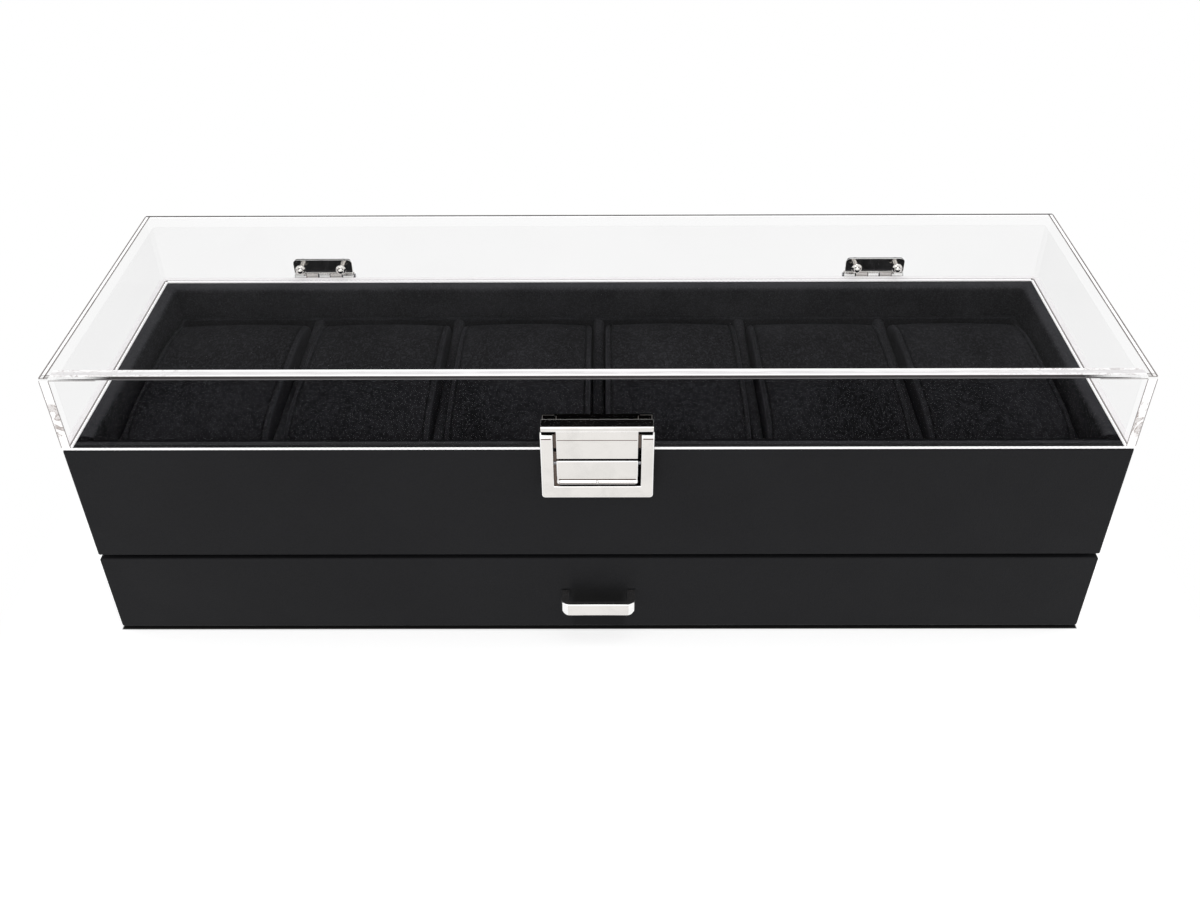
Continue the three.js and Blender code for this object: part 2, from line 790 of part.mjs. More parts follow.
function bodyGroup() {
  const group = new THREE.Group();
  group.add(
    piece("base_felt", baseFelt(), blackFelt),
    piece("base_board", deckBoard(boardBottom, baseThick), blackBoard),
    piece("back_board", backBoard(), leatherette),
    piece("front_board", frontBoard(), leatherette),
    piece("tray_shelf", deckBoard(bodyFrontBottom, shelfThick), blackBoard),
    piece("tray_lining", trayLining(), suede),
    piece("tray_floor_pad", trayFloorPad(), suede),
    piece("insert_frame", insertFrame(), suede),
    piece("latch_frame", latchFrame(), chrome),
    piece("latch_pin", latchPin(), springSteel),
    piece("latch_spring", latchSpring(), springSteel),
  );
  for (const [name, side] of sides) {
    group.add(
      piece(name + "_side", sideBoard(side), leatherette),
      piece("body_leaf_" + name, hingeLeaf(side, -1), chrome),
      piece("hinge_pin_" + name, hingePin(side), springSteel),
    );
  }
  for (let index = 1; index < cellCount; index += 1) {
    group.add(piece("divider_" + index, divider(index), suede));
  }
  bodyScrewPlaces().forEach((x, index) => {
    group.add(piece("body_screw_" + (index + 1), bodyScrew(x), chrome));
  });
  return group;
}

function lidGroup() {
  const group = new THREE.Group();
  group.add(
    piece("lid_top", lidTopSheet(), acrylic),
    piece("lid_front", lidFrontSheet(), acrylic),
    piece("lid_back", lidBackSheet(), acrylic),
    piece("strike_plate", strikePlate(), chrome),
  );
  for (const [name, side] of sides) {
    group.add(
      piece("lid_" + name, lidEndSheet(side), acrylic),
      piece("lid_leaf_" + name, hingeLeaf(side, 1), chrome),
    );
  }
  bodyScrewPlaces().forEach((x, index) => {
    group.add(piece("lid_bolt_" + (index + 1), lidBolt(x), chrome));
    group.add(piece("cap_nut_" + (index + 1), capNut(x), chrome));
  });
  return group;
}

function drawerGroup() {
  const group = new THREE.Group();
  group.add(
    piece("drawer_front", drawerFront(), leatherette),
    piece("drawer_back", drawerBack(), blackBoard),
    piece("drawer_bottom", drawerBottom(), blackBoard),
    piece("drawer_pad", drawerPad(), suede),
    piece("drawer_pull", drawerPull(), chrome),
  );
  for (const [name, side] of sides) {
    group.add(piece("drawer_" + name, drawerSide(side), blackBoard));
  }
  pullScrewPlaces().forEach((x, index) => {
    group.add(piece("pull_screw_" + (index + 1), pullScrew(x), springSteel));
  });
  return group;
}

function pillowGroup() {
  const group = new THREE.Group();
  for (let index = 0; index < cellCount; index += 1) {
    group.add(piece("pillow_" + (index + 1), pillow(index), suede));
  }
  return group;
}

const watchCase = new THREE.Group();
watchCase.add(bodyGroup(), lidGroup(), drawerGroup(), pillowGroup());
watchCase.add(piece("latch_button", latchButton(), chrome));

export default watchCase;
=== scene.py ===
"""Watch display case: the looks of the wrapped case, its clear lid, drawer and six pillows.

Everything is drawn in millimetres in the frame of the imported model, X to the right, the front
towards -Y and Z up from the table, and becomes metres when a mesh is made.
"""

import logging
import math
from dataclasses import dataclass, field
from enum import Enum
from functools import reduce

import bmesh
import bpy
import numpy as np
from mathutils import Matrix, Vector


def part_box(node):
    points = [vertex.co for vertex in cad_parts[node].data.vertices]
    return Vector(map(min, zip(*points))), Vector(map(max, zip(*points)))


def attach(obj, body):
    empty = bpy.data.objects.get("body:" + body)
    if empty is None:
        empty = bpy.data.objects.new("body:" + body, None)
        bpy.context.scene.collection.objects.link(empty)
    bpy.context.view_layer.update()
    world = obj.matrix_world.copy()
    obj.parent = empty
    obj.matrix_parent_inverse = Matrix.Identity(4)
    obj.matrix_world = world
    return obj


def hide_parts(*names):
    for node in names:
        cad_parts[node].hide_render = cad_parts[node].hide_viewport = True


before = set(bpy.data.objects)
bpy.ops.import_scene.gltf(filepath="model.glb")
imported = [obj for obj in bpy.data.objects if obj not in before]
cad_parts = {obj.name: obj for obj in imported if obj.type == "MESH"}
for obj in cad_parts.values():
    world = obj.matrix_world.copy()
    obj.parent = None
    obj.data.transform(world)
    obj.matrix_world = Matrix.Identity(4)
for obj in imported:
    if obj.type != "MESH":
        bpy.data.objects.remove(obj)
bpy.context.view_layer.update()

log = logging.getLogger("watch_case")

MM = 0.001
MERGE = 2e-6
SEAM = 0.02
HALF_TURN = math.pi
SMOOTH_ANGLE = math.radians(32)
SIDES = (-1, 1)
BLACK = (0.0, 0.0, 0.0, 1.0)
WHITE = (1.0, 1.0, 1.0, 1.0)

Socket = bpy.types.NodeSocket


# Shapes worked out on grids of points


class Axis(Enum):
    """Axis along which an outline is carried, as the places of its u, v and depth in XYZ."""

    X = (1, 2, 0)
    Y = (0, 2, 1)
    Z = (0, 1, 2)

    def place(self, uv: np.ndarray, depth) -> np.ndarray:
        """Returns XYZ points for drawn points uv and their depths."""
        u, v, along = self.value
        points = np.empty(uv.shape[:-1] + (3,))
        points[..., u] = uv[..., 0]
        points[..., v] = uv[..., 1]
        points[..., along] = depth
        return points


class Shape:
    """Closed surfaces gathered from grids of points until they become one mesh."""

    def __init__(self) -> None:
        """Starts with no points and no faces."""
        self.points: list[np.ndarray] = []
        self.faces: list[list[int]] = []
        self.count = 0

    def grid(self, points: np.ndarray, around: bool = True, closed: bool = False) -> np.ndarray:
        """Adds quads between the neighbours of a grid of points.

        Args:
            points: rows x columns x 3 places.
            around: whether the last column joins the first.
            closed: whether the last row joins the first.

        Returns:
            The index of each grid point.
        """
        rows, columns = points.shape[:2]
        index = np.arange(rows * columns).reshape(rows, columns) + self.count
        down = np.arange(rows if closed else rows - 1)[:, None]
        across = np.arange(columns if around else columns - 1)[None, :]
        below, beside = (down + 1) % rows, (across + 1) % columns
        quads = np.stack(
            [index[down, across], index[down, beside], index[below, beside], index[below, across]],
            axis=-1,
        )
        self.points.append(points.reshape(-1, 3))
        self.faces.extend(quads.reshape(-1, 4).tolist())
        self.count += rows * columns
        return index

    def loft(self, rings: np.ndarray) -> "Shape":
        """Adds a closed body through rings of points, with a flat face over each end."""
        index = self.grid(rings)
        self.faces += [index[0, ::-1].tolist(), index[-1].tolist()]
        return self

    def hoop(self, rings: np.ndarray) -> "Shape":
        """Adds a body that closes on itself both around and along."""
        self.grid(rings, closed=True)
        return self

    def bag(self, rings: np.ndarray) -> "Shape":
        """Adds a closed body whose first and last ring draw together to one point each."""
        index = self.grid(rings)
        self.points.append(np.stack([rings[0].mean(axis=0), rings[-1].mean(axis=0)]))
        for pole, ring in enumerate((index[0], index[-1])):
            tip = np.full_like(ring, self.count + pole)
            edge = (np.roll(ring, -1), ring)[::1 - 2 * pole]
            self.faces.extend(np.stack([tip, *edge], 1).tolist())
        self.count += 2
        return self

    def raw(self, name: str) -> bpy.types.Mesh:
        """Returns the gathered surfaces as a mesh in metres, as they are."""
        made = bpy.data.meshes.new(name)
        made.from_pydata((np.concatenate(self.points) * MM).tolist(), [], self.faces)
        return made

    def mesh(self, name: str) -> bpy.types.Mesh:
        """Returns the gathered surfaces as a mesh in metres, doubles merged, facing outwards."""
        made = self.raw(name)
        work = bmesh.new()
        work.from_mesh(made)
        bmesh.ops.remove_doubles(work, verts=work.verts, dist=MERGE)
        bmesh.ops.recalc_face_normals(work, faces=work.faces)
        work.to_mesh(made)
        work.free()
        return made


def node_box(name: str) -> tuple[np.ndarray, np.ndarray]:
    """Returns a CAD node's lowest and highest corners in millimetres."""
    low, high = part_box(name)
    return np.array(low) / MM, np.array(high) / MM


def rounded_rectangle(low, high, radii, steps: int = 6) -> np.ndarray:
    """Closed outline of a rectangle with its own radius at each corner.

    A point is the corner's centre plus the radius times the cosine and sine of an angle that
    runs over that corner's quarter turn.

    Args:
        low: lowest u and v.
        high: highest u and v.
        radii: one radius, or four in the order low-low, high-low, high-high, low-high.
        steps: spans per corner.

    Returns:
        The outline's points, n x 2, anticlockwise.
    """
    signs = np.array([(-1, -1), (1, -1), (1, 1), (-1, 1)], float)
    radius = np.broadcast_to(np.maximum(np.asarray(radii, float), SEAM), (4,))
    corners = np.where(signs < 0, np.asarray(low, float), np.asarray(high, float))
    centres = corners - signs * radius[:, None]
    quarter = np.linspace(0, 1, steps + 1)
    angles = HALF_TURN * (1 + (np.arange(4)[:, None] + quarter) / 2)
    turn = np.stack([np.cos(angles), np.sin(angles)], axis=-1)
    return (centres[:, None, :] + radius[:, None, None] * turn).reshape(-1, 2)


def inset(outline: np.ndarray, distance: float) -> np.ndarray:
    """Moves a closed anticlockwise outline inwards.

    Each point moves along the sum of its two edges' normals, divided by one plus their dot
    product, so that both edges move by the same distance.
    """
    shortest, sharpest = 1e-9, 0.2
    before = outline - np.roll(outline, 1, axis=0)
    normals = []
    for edge in (before, np.roll(before, -1, axis=0)):
        length = np.maximum(np.linalg.norm(edge, axis=1, keepdims=True), shortest)
        normals.append(np.stack([edge[:, 1], -edge[:, 0]], axis=1) / length)
    dot = (normals[0] * normals[1]).sum(axis=1, keepdims=True)
    return outline - distance * (normals[0] + normals[1]) / np.maximum(1 + dot, sharpest)


def edge_rounds(start: float, end: float, first: float, last: float, steps: int = 4) -> np.ndarray:
    """Profile of a slab's edge as (inset, depth), a quarter circle at each end.

    Args:
        start: depth of the first face.
        end: depth of the last face.
        first: radius at the first face.
        last: radius at the last face.
        steps: spans per quarter circle.

    Returns:
        The profile's points, n x 2.
    """
    turn = np.linspace(0, HALF_TURN / 2, steps + 1)
    low = np.stack([first * (1 - np.sin(turn)), start + first * (1 - np.cos(turn))], 1)
    high = np.stack([last * (1 - np.sin(turn)), end - last * (1 - np.cos(turn))], 1)
    return np.concatenate([low, high[::-1]])


def slab(outline: np.ndarray, profile: np.ndarray, axis: Axis) -> np.ndarray:
    """Rings of an outline carried along an axis, drawn in by the profile's inset at each depth."""
    return np.stack([axis.place(inset(outline, shrink), depth) for shrink, depth in profile])


def block(low, high, axis: Axis, corner=SEAM, rounds: tuple = (SEAM, SEAM), steps: int = 6,
          spans: int = 4) -> np.ndarray:
    """Rings of a box between two corners, a rounded outline carried along an axis.

    Args:
        low: one corner.
        high: the opposite corner.
        axis: axis along which the outline is carried.
        corner: radius of the outline's corners, or one for each.
        rounds: radii along the first and the last face.
        steps: spans per corner.
        spans: spans per round along a face.

    Returns:
        The rings, ready for a loft.
    """
    low, high = np.minimum(low, high), np.maximum(low, high)
    u, v, along = axis.value
    outline = rounded_rectangle(low[[u, v]], high[[u, v]], corner, steps)
    return slab(outline, edge_rounds(low[along], high[along], *rounds, spans), axis)


def strip(low, high, axis: Axis = Axis.Z, edge: float = SEAM) -> np.ndarray:
    """Rings of a thin bar between two corners, its edges barely broken."""
    return block(low, high, axis, SEAM, (edge, edge), 1, 1)


def turned(profile: np.ndarray, centre, axis: Axis, steps: int = 32) -> np.ndarray:
    """Rings of a profile of (radius, depth) turned about an axis through a centre.

    A point is the centre plus the radius times (cos, sin) of the angle across the axis, and the
    depth along it.
    """
    angle = np.arange(steps) * 2 * HALF_TURN / steps
    uv = profile[:, 0, None, None] * np.stack([np.cos(angle), np.sin(angle)], axis=-1)
    return axis.place(uv, profile[:, 1, None]) + np.asarray(centre, float)


def bar_between(outer: np.ndarray, inner: np.ndarray, low, high, edge: float,
                axis: Axis) -> np.ndarray:
    """Rings of a bar that runs between two curves.

    At each station the section is a rounded rectangle: its width goes from the outer curve to
    the inner one, and its depth from low to high.

    Args:
        outer: n x 2 points of the outer curve.
        inner: n x 2 points of the inner curve.
        low: lowest depth, one or at each station.
        high: highest depth, one or at each station.
        edge: radius along the bar's four edges.
        axis: axis of the depth.

    Returns:
        The rings, n x section points x 3.
    """
    low, high = (np.broadcast_to(np.asarray(depth, float), len(outer)) for depth in (low, high))
    width = np.linalg.norm(outer - inner, axis=1)
    size = np.stack([width, high - low], axis=-1)[:, None] / 2
    unit = rounded_rectangle((-1, -1), (1, 1), 1, 4)[None]
    corner = np.sign(unit)
    share = corner + (unit - corner) * np.minimum(edge / size, 1)
    mix = (share[..., 0, None] + 1) / 2
    uv = outer[:, None] * (1 - mix) + inner[:, None] * mix
    return axis.place(uv, low[:, None] + (high - low)[:, None] * (share[..., 1] + 1) / 2)


def wall_rings(low, high, radii, profile: np.ndarray, steps: int = 5) -> np.ndarray:
    """Rows of a wall that runs round a rectangle.

    Each row is the rectangle drawn in by the profile's inset, at the profile's height.

    Args:
        low: lowest x and y of the outer face.
        high: highest x and y of the outer face.
        radii: radius of the corners at each row.
        profile: rows of (inset, height).
        steps: spans per corner.

    Returns:
        The rows of points.
    """
    low, high = np.asarray(low, float), np.asarray(high, float)
    return np.stack([
        Axis.Z.place(rounded_rectangle(low + shrink, high - shrink, radius, steps), height)
        for radius, (shrink, height) in zip(radii, profile)])


def arc(centre, radius: float, start: float, end: float, steps: int) -> np.ndarray:
    """Points of an arc: the centre plus the radius times the cosine and sine, degrees in."""
    angle = np.radians(np.linspace(start, end, steps + 1))
    return np.asarray(centre, float) + radius * np.stack([np.cos(angle), np.sin(angle)], 1)


def mirrored(left: np.ndarray, shared: bool = False) -> np.ndarray:
    """Returns a curve's left half and its mirrored half, which may share the middle point."""
    return np.concatenate([left, left[-2 if shared else -1::-1] * (-1, 1)])


# Shader nodes


def srgb(red: float, green: float, blue: float) -> tuple[float, float, float, float]:
    """Returns a colour given in 0 to 255 display values as linear RGBA."""
    scaled = np.array([red, green, blue]) / 255
    linear = np.where(scaled <= 0.04045, scaled / 12.92, ((scaled + 0.055) / 1.055) ** 2.4)
    return (*linear.tolist(), 1.0)


class Graph:
    """Adds nodes to a shader tree and sets or links their inputs."""

    def __init__(self, tree: bpy.types.NodeTree) -> None:
        """Keeps the tree that nodes are added to."""
        self.tree = tree

    def put(self, socket: Socket, value) -> None:
        """Links a socket to another one, or sets its constant."""
        if isinstance(value, Socket):
            self.tree.links.new(value, socket)
        else:
            socket.default_value = value

    def set(self, node: bpy.types.Node, **inputs) -> None:
        """Sets or links a node's inputs by their names, written with underscores."""
        for name, value in inputs.items():
            self.put(node.inputs[name.replace("_", " ")], value)

    def add(self, kind: str, inputs: dict | None = None, **settings) -> bpy.types.Node:
        """Adds a node.

        Args:
            kind: the node's type after ShaderNode.
            inputs: values or sockets by input name or number.
            settings: the node's own properties.

        Returns:
            The node.
        """
        node = self.tree.nodes.new("ShaderNode" + kind)
        for name, value in settings.items():
            setattr(node, name, value)
        for name, value in (inputs or {}).items():
            self.put(node.inputs[name], value)
        return node

    def maths(self, operation: str, *values) -> Socket:
        """Returns the result of a Math node on the given values."""
        return self.add("Math", dict(enumerate(values)), operation=operation).outputs[0]

    def times(self, *values) -> Socket:
        """Returns the product of the given values."""
        return reduce(lambda first, second: self.maths("MULTIPLY", first, second), values)

    def size(self, value) -> Socket:
        """Returns a value without its sign."""
        return self.maths("ABSOLUTE", value)

    def span(self, value, start: float, end: float, low: float = 0.0,
             high: float = 1.0) -> Socket:
        """Returns a value's range start to end carried to low to high, held at its ends."""
        inputs = {"Value": value, "From Min": start, "From Max": end, "To Min": low, "To Max": high}
        return self.add("MapRange", inputs, interpolation_type="SMOOTHSTEP").outputs["Result"]

    def blend(self, share, first, second) -> Socket:
        """Returns a colour between two, by a share."""
        node = self.add("Mix", data_type="RGBA")
        for place, value in ((0, share), (6, first), (7, second)):
            self.put(node.inputs[place], value)
        return node.outputs[2]

    def noise(self, vector, scale, detail: float = 3, roughness: float = 0.55,
              distortion: float = 0) -> Socket:
        """Returns the value of a noise on a vector."""
        return self.add("TexNoise", {"Vector": vector, "Scale": scale, "Detail": detail,
                                     "Roughness": roughness, "Distortion": distortion}).outputs[0]

    def bent(self, vector, scale, amount: float, distortion: float = 0) -> Socket:
        """Returns a vector pushed about by a noise."""
        push = self.noise(vector, scale, detail=2, distortion=distortion).node.outputs["Color"]
        return self.add("MixRGB", {"Fac": amount, "Color1": vector, "Color2": push},
                        blend_type="LINEAR_LIGHT").outputs[0]

    def place(self, scale=(1.0, 1.0, 1.0)) -> Socket:
        """Returns object coordinates, scaled."""
        return self.stretch(self.add("TexCoord").outputs["Object"], scale)

    def stretch(self, vector, scale) -> Socket:
        """Returns a vector scaled along its axes."""
        return self.add("Mapping", {"Vector": vector, "Scale": scale}).outputs[0]

    def xyz(self, vector) -> bpy.types.NodeOutputs:
        """Returns the X, Y and Z of a vector."""
        return self.add("SeparateXYZ", {0: vector}).outputs

    def effect(self, kind: "Effect", vector, scale: float) -> tuple[Socket, Socket]:
        """Returns the tone and the height of a shared effect."""
        node = self.tree.nodes.new("ShaderNodeGroup")
        node.node_tree = kind.tree()
        self.set(node, Vector=vector, Scale=scale)
        return node.outputs["Tone"], node.outputs["Height"]

    def bump(self, height, strength: float, distance: float) -> Socket:
        """Returns the normal of a bump by a height."""
        return self.add("Bump", {"Height": height, "Strength": strength,
                                 "Distance": distance * MM}).outputs[0]


class Effect(Enum):
    """Surface effects that several finishes share, each a node group built once."""

    GRAIN = "Pressed grain"
    NAP = "Brushed nap"
    HANDLING = "Handling marks"

    def tree(self) -> bpy.types.NodeTree:
        """Returns the effect's node group, built on first use."""
        known = bpy.data.node_groups.get(self.value)
        if known:
            return known
        tree = bpy.data.node_groups.new(self.value, "ShaderNodeTree")
        for name, way, kind in (("Vector", "INPUT", "Vector"), ("Scale", "INPUT", "Float"),
                                ("Tone", "OUTPUT", "Float"), ("Height", "OUTPUT", "Float")):
            tree.interface.new_socket(name, in_out=way, socket_type="NodeSocket" + kind)
        source = tree.nodes.new("NodeGroupInput")
        result = tree.nodes.new("NodeGroupOutput")
        makers = {Effect.GRAIN: grain_nodes, Effect.NAP: nap_nodes,
                  Effect.HANDLING: handling_nodes}
        graph = Graph(tree)
        tone, height = makers[self](graph, source.outputs["Vector"], source.outputs["Scale"])
        graph.set(result, Tone=tone, Height=height)
        return tree


def grain_nodes(graph: Graph, vector: Socket, scale: Socket) -> tuple[Socket, Socket]:
    """Pressed leather grain: soft pebbles between fine valleys, with a slow change of tone."""
    bent = graph.bent(vector, graph.times(scale, 0.6), 0.0015)
    cells = graph.add("TexVoronoi", {"Vector": bent, "Scale": scale, "Smoothness": 0.6},
                      feature="SMOOTH_F1")
    fine = graph.noise(vector, graph.times(scale, 3.1))
    pebble = graph.maths("SUBTRACT", 1.0, cells.outputs["Distance"])
    slow = graph.noise(vector, graph.times(scale, 0.02), detail=2)
    return (graph.maths("MULTIPLY_ADD", pebble, 0.35, graph.times(slow, 0.65)),
            graph.maths("MULTIPLY_ADD", fine, 0.35, pebble))


def nap_nodes(graph: Graph, vector: Socket, scale: Socket) -> tuple[Socket, Socket]:
    """Brushed suede: clouds of lighter nap under short curled fibres and fine specks."""
    bent = graph.bent(vector, graph.times(scale, 0.35), 0.0012, 0.6)
    curls = graph.noise(bent, scale, roughness=0.5, distortion=1.2)
    ridge = graph.size(graph.maths("SUBTRACT", curls, 0.5))
    fibre = graph.span(ridge, 0.0, 0.1, 1.0, 0.0)
    broken = graph.noise(vector, graph.times(scale, 2.0), detail=1)
    strands = graph.times(fibre, graph.span(broken, 0.35, 0.65, 0.2, 1.0))
    clouds = graph.noise(vector, graph.times(scale, 0.05), detail=4, distortion=0.4)
    clouds = graph.span(clouds, 0.25, 0.75, 0.0, 0.32)
    specks = graph.noise(vector, graph.times(scale, 3.0), detail=2)
    tone = graph.maths("MULTIPLY_ADD", strands, 0.6, clouds)
    return (graph.maths("MULTIPLY_ADD", specks, 0.1, tone),
            graph.maths("MULTIPLY_ADD", specks, 0.5, strands))


def handling_nodes(graph: Graph, vector: Socket, scale: Socket) -> tuple[Socket, Socket]:
    """Handling marks: soft smudges, with fine hairline rubs across them."""
    hairlines = graph.stretch(vector, (1.0, 1.0, 14.0))
    rub = graph.noise(hairlines, graph.times(scale, 6.0), detail=2)
    smudge = graph.noise(vector, scale, detail=4, roughness=0.65, distortion=0.8)
    tone = graph.span(smudge, 0.35, 0.7)
    return tone, graph.maths("MULTIPLY_ADD", rub, 0.4, tone)


# Finishes


@dataclass(frozen=True)
class Finish:
    """A surface finish: its name and the record's slot that it stands for."""

    name: str
    slot: str

    def material(self) -> bpy.types.Material:
        """Returns the finish's material, built on first use."""
        known = bpy.data.materials.get(self.name)
        if known:
            return known
        made = bpy.data.materials.new(self.name)
        made.use_nodes = True
        graph = Graph(made.node_tree)
        graph.set(made.node_tree.nodes["Principled BSDF"], **self.inputs(graph))
        return made

    def inputs(self, graph: Graph) -> dict:
        """Returns the shader's inputs by name; each kind of finish has its own."""
        raise NotImplementedError


@dataclass(frozen=True)
class Leatherette(Finish):
    """Smooth coated cloth, finely grained, as the case's boards are wrapped in."""

    dark: tuple = (31, 31, 33)
    light: tuple = (40.5, 40.7, 42.6)
    grain: float = 1500
    relief: float = 0.22
    shade: float = 0.0
    shade_sides: tuple = (0.0106, 0.0074)
    shade_top: tuple = (0.0228, 0.0142)
    shade_foot: tuple = (0.009, 0.0125)

    def inputs(self, graph: Graph) -> dict:
        """Two close tones by the grain, with handling marks in its gloss, and a painted shadow
        under the pull where shade is set.
        """
        where = graph.place()
        tone, height = graph.effect(Effect.GRAIN, where, self.grain)
        marks, _ = graph.effect(Effect.HANDLING, where, 26.0)
        colour = graph.blend(tone, srgb(*self.dark), srgb(*self.light))
        # painted shadow: the colour is blended towards black under the drawer's pull
        if self.shade:
            colour = graph.blend(self.painted_pull_shadow(graph, where), colour, BLACK)
        return {"Base_Color": colour, "Roughness": graph.span(marks, 0, 1, 0.4, 0.5),
                "Normal": graph.bump(height, self.relief, 0.12), "Specular_IOR_Level": 0.08}

    def painted_pull_shadow(self, graph: Graph, where: Socket) -> Socket:
        """Returns the painted shadow between the pull's legs, which fades to the sides and upwards.
        """
        place = graph.xyz(where)
        across = graph.span(graph.size(place["X"]), *self.shade_sides)
        falling = graph.span(place["Z"], *self.shade_top)
        rising = graph.span(place["Z"], *self.shade_foot, 0.45, self.shade)
        return graph.times(across, falling, rising)


@dataclass(frozen=True)
class Suede(Finish):
    """Short-napped suede cloth over card or foam."""

    dark: tuple = (12, 12, 13)
    light: tuple = (47, 47, 50)
    fibre: float = 600
    relief: float = 0.25
    sheen: float = 0.004
    lay: tuple = (1.0, 0.6, 1.0)
    painted_top_light: tuple = ()
    pitch: float = 0.0
    welt_highlight: tuple = (0.0216, 0.0224, 0.22)
    end: tuple = (0.0231, 0.0235, 0.5)
    painted_shade: tuple = ()

    def inputs(self, graph: Graph) -> dict:
        """Dark ground under lighter fibres, with a soft sheen.

        It is painted paler over its heights, a painted highlight where its tops face the light, and
        painted paler at the welts and ends of pillows that stand a double pitch apart, painted
        light there. Where a painted shade is given, it darkens towards the front.
        """
        nap, height = graph.effect(Effect.NAP, graph.place(self.lay), self.fibre)
        place = graph.xyz(graph.place())
        tone = nap
        # painted highlight: paler towards the top of its height range
        if self.painted_top_light:
            tone = graph.maths("ADD", tone, graph.span(place["Z"], *self.painted_top_light, 0.0, 0.5))
        # painted light: paler bands at the pillows' welts, a painted highlight, and at their ends,
        # painted light on faces in shade
        if self.pitch:
            gap = graph.maths("PINGPONG", place["X"], self.pitch)
            for start, end, pale in (self.welt_highlight, self.end):
                tone = graph.maths("ADD", tone, graph.span(gap, self.pitch - start,
                                                           self.pitch - end, 0.0, pale))
        # painted shade: darker towards the front rim
        if self.painted_shade:
            start, full, stop = self.painted_shade
            falling = graph.span(place["Y"], start, full, 0.0, -0.9)
            kept = graph.span(place["Y"], stop, stop + 0.0008, 1.0, 0.0)
            tone = graph.maths("MULTIPLY_ADD", falling, kept, tone)
        return {"Base_Color": graph.blend(tone, srgb(*self.dark), srgb(*self.light)),
                "Roughness": graph.span(nap, 0, 1, 0.95, 0.85),
                "Normal": graph.bump(height, self.relief, 0.18), "Specular_IOR_Level": 0.01,
                "Sheen_Weight": self.sheen, "Sheen_Roughness": 0.45,
                "Sheen_Tint": srgb(205, 208, 220)}


@dataclass(frozen=True)
class Board(Finish):
    """Black paper-wrapped board of the drawer's box and the inner decks."""

    tone: tuple = (24, 24, 25)
    edge: tuple = (36, 36, 37)

    def inputs(self, graph: Graph) -> dict:
        """Paper fibres as a fine uneven tone and relief."""
        where = graph.place()
        fibres = graph.noise(where, 900.0, detail=4, roughness=0.7)
        marks, _ = graph.effect(Effect.HANDLING, where, 40.0)
        return {"Base_Color": graph.blend(fibres, srgb(*self.tone), srgb(*self.edge)),
                "Roughness": graph.span(marks, 0, 1, 0.62, 0.78),
                "Normal": graph.bump(fibres, 0.2, 0.1), "Specular_IOR_Level": 0.3}


@dataclass(frozen=True)
class Metal(Finish):
    """Plated or plain metal, its tint in linear values."""

    tint: tuple = (0.825, 0.8, 0.77)
    gloss: float = 0.06
    haze: float = 0.06

    def inputs(self, graph: Graph) -> dict:
        """Mirror gloss that handling marks dull a little."""
        where = graph.place()
        marks, _ = graph.effect(Effect.HANDLING, where, 90.0)
        worn = (*(0.93 * part for part in self.tint), 1.0)
        return {"Metallic": 1.0, "Base_Color": graph.blend(marks, (*self.tint, 1.0), worn),
                "Roughness": graph.span(marks, 0, 1, self.gloss, self.gloss + self.haze),
                "Normal": graph.bump(graph.noise(where, 2600.0, detail=2), 0.02, 0.05)}


@dataclass(frozen=True)
class Acrylic(Finish):
    """Clear cast sheet, all but invisible from the front and mirror-like at a flat angle."""

    haze: float = 0.0135
    mirror: float = 0.28
    veil: tuple = (40, 38, 39)

    def inputs(self, graph: Graph) -> dict:
        """Thin cover that grows with the fifth power of the angle, with faint wipe marks; its veil
        is painted shade and reflection.
        """
        marks, _ = graph.effect(Effect.HANDLING, graph.place(), 14.0)
        facing = graph.add("LayerWeight", {"Blend": 0.5}).outputs["Facing"]
        smear = graph.span(marks, 0, 1, self.haze, 1.35 * self.haze)
        # the veil's colour is painted: dark on the walls, a painted greying of what is seen through
        # them, and lighter on the top sheet, a painted reflection over what lies under it
        return {"Base_Color": srgb(*self.veil), "IOR": 1.49,
                "Roughness": graph.span(marks, 0, 1, 0.01, 0.05),
                "Alpha": graph.maths("MULTIPLY_ADD", graph.maths("POWER", facing, 5.0),
                                     self.mirror, smear)}


@dataclass(frozen=True)
class CutEdge(Finish):
    """Saw-cut rim of a clear sheet, which gathers light and looks white."""

    glow: float = 0.45

    def inputs(self, graph: Graph) -> dict:
        """White with faint saw lines, and a painted glow for the light that the sheet carries to
        it.
        """
        lines = graph.add("TexWave", {"Vector": graph.place(), "Scale": 380.0, "Distortion": 2.0,
                                      "Detail": 2.0}, wave_type="BANDS",
                          bands_direction="DIAGONAL").outputs["Fac"]
        shade = graph.blend(lines, srgb(236, 235, 236), srgb(252, 252, 252))
        return {"Base_Color": shade, "Emission_Color": shade, "Emission_Strength": self.glow,
                "Roughness": 0.5, "Normal": graph.bump(lines, 0.2, 0.05)}


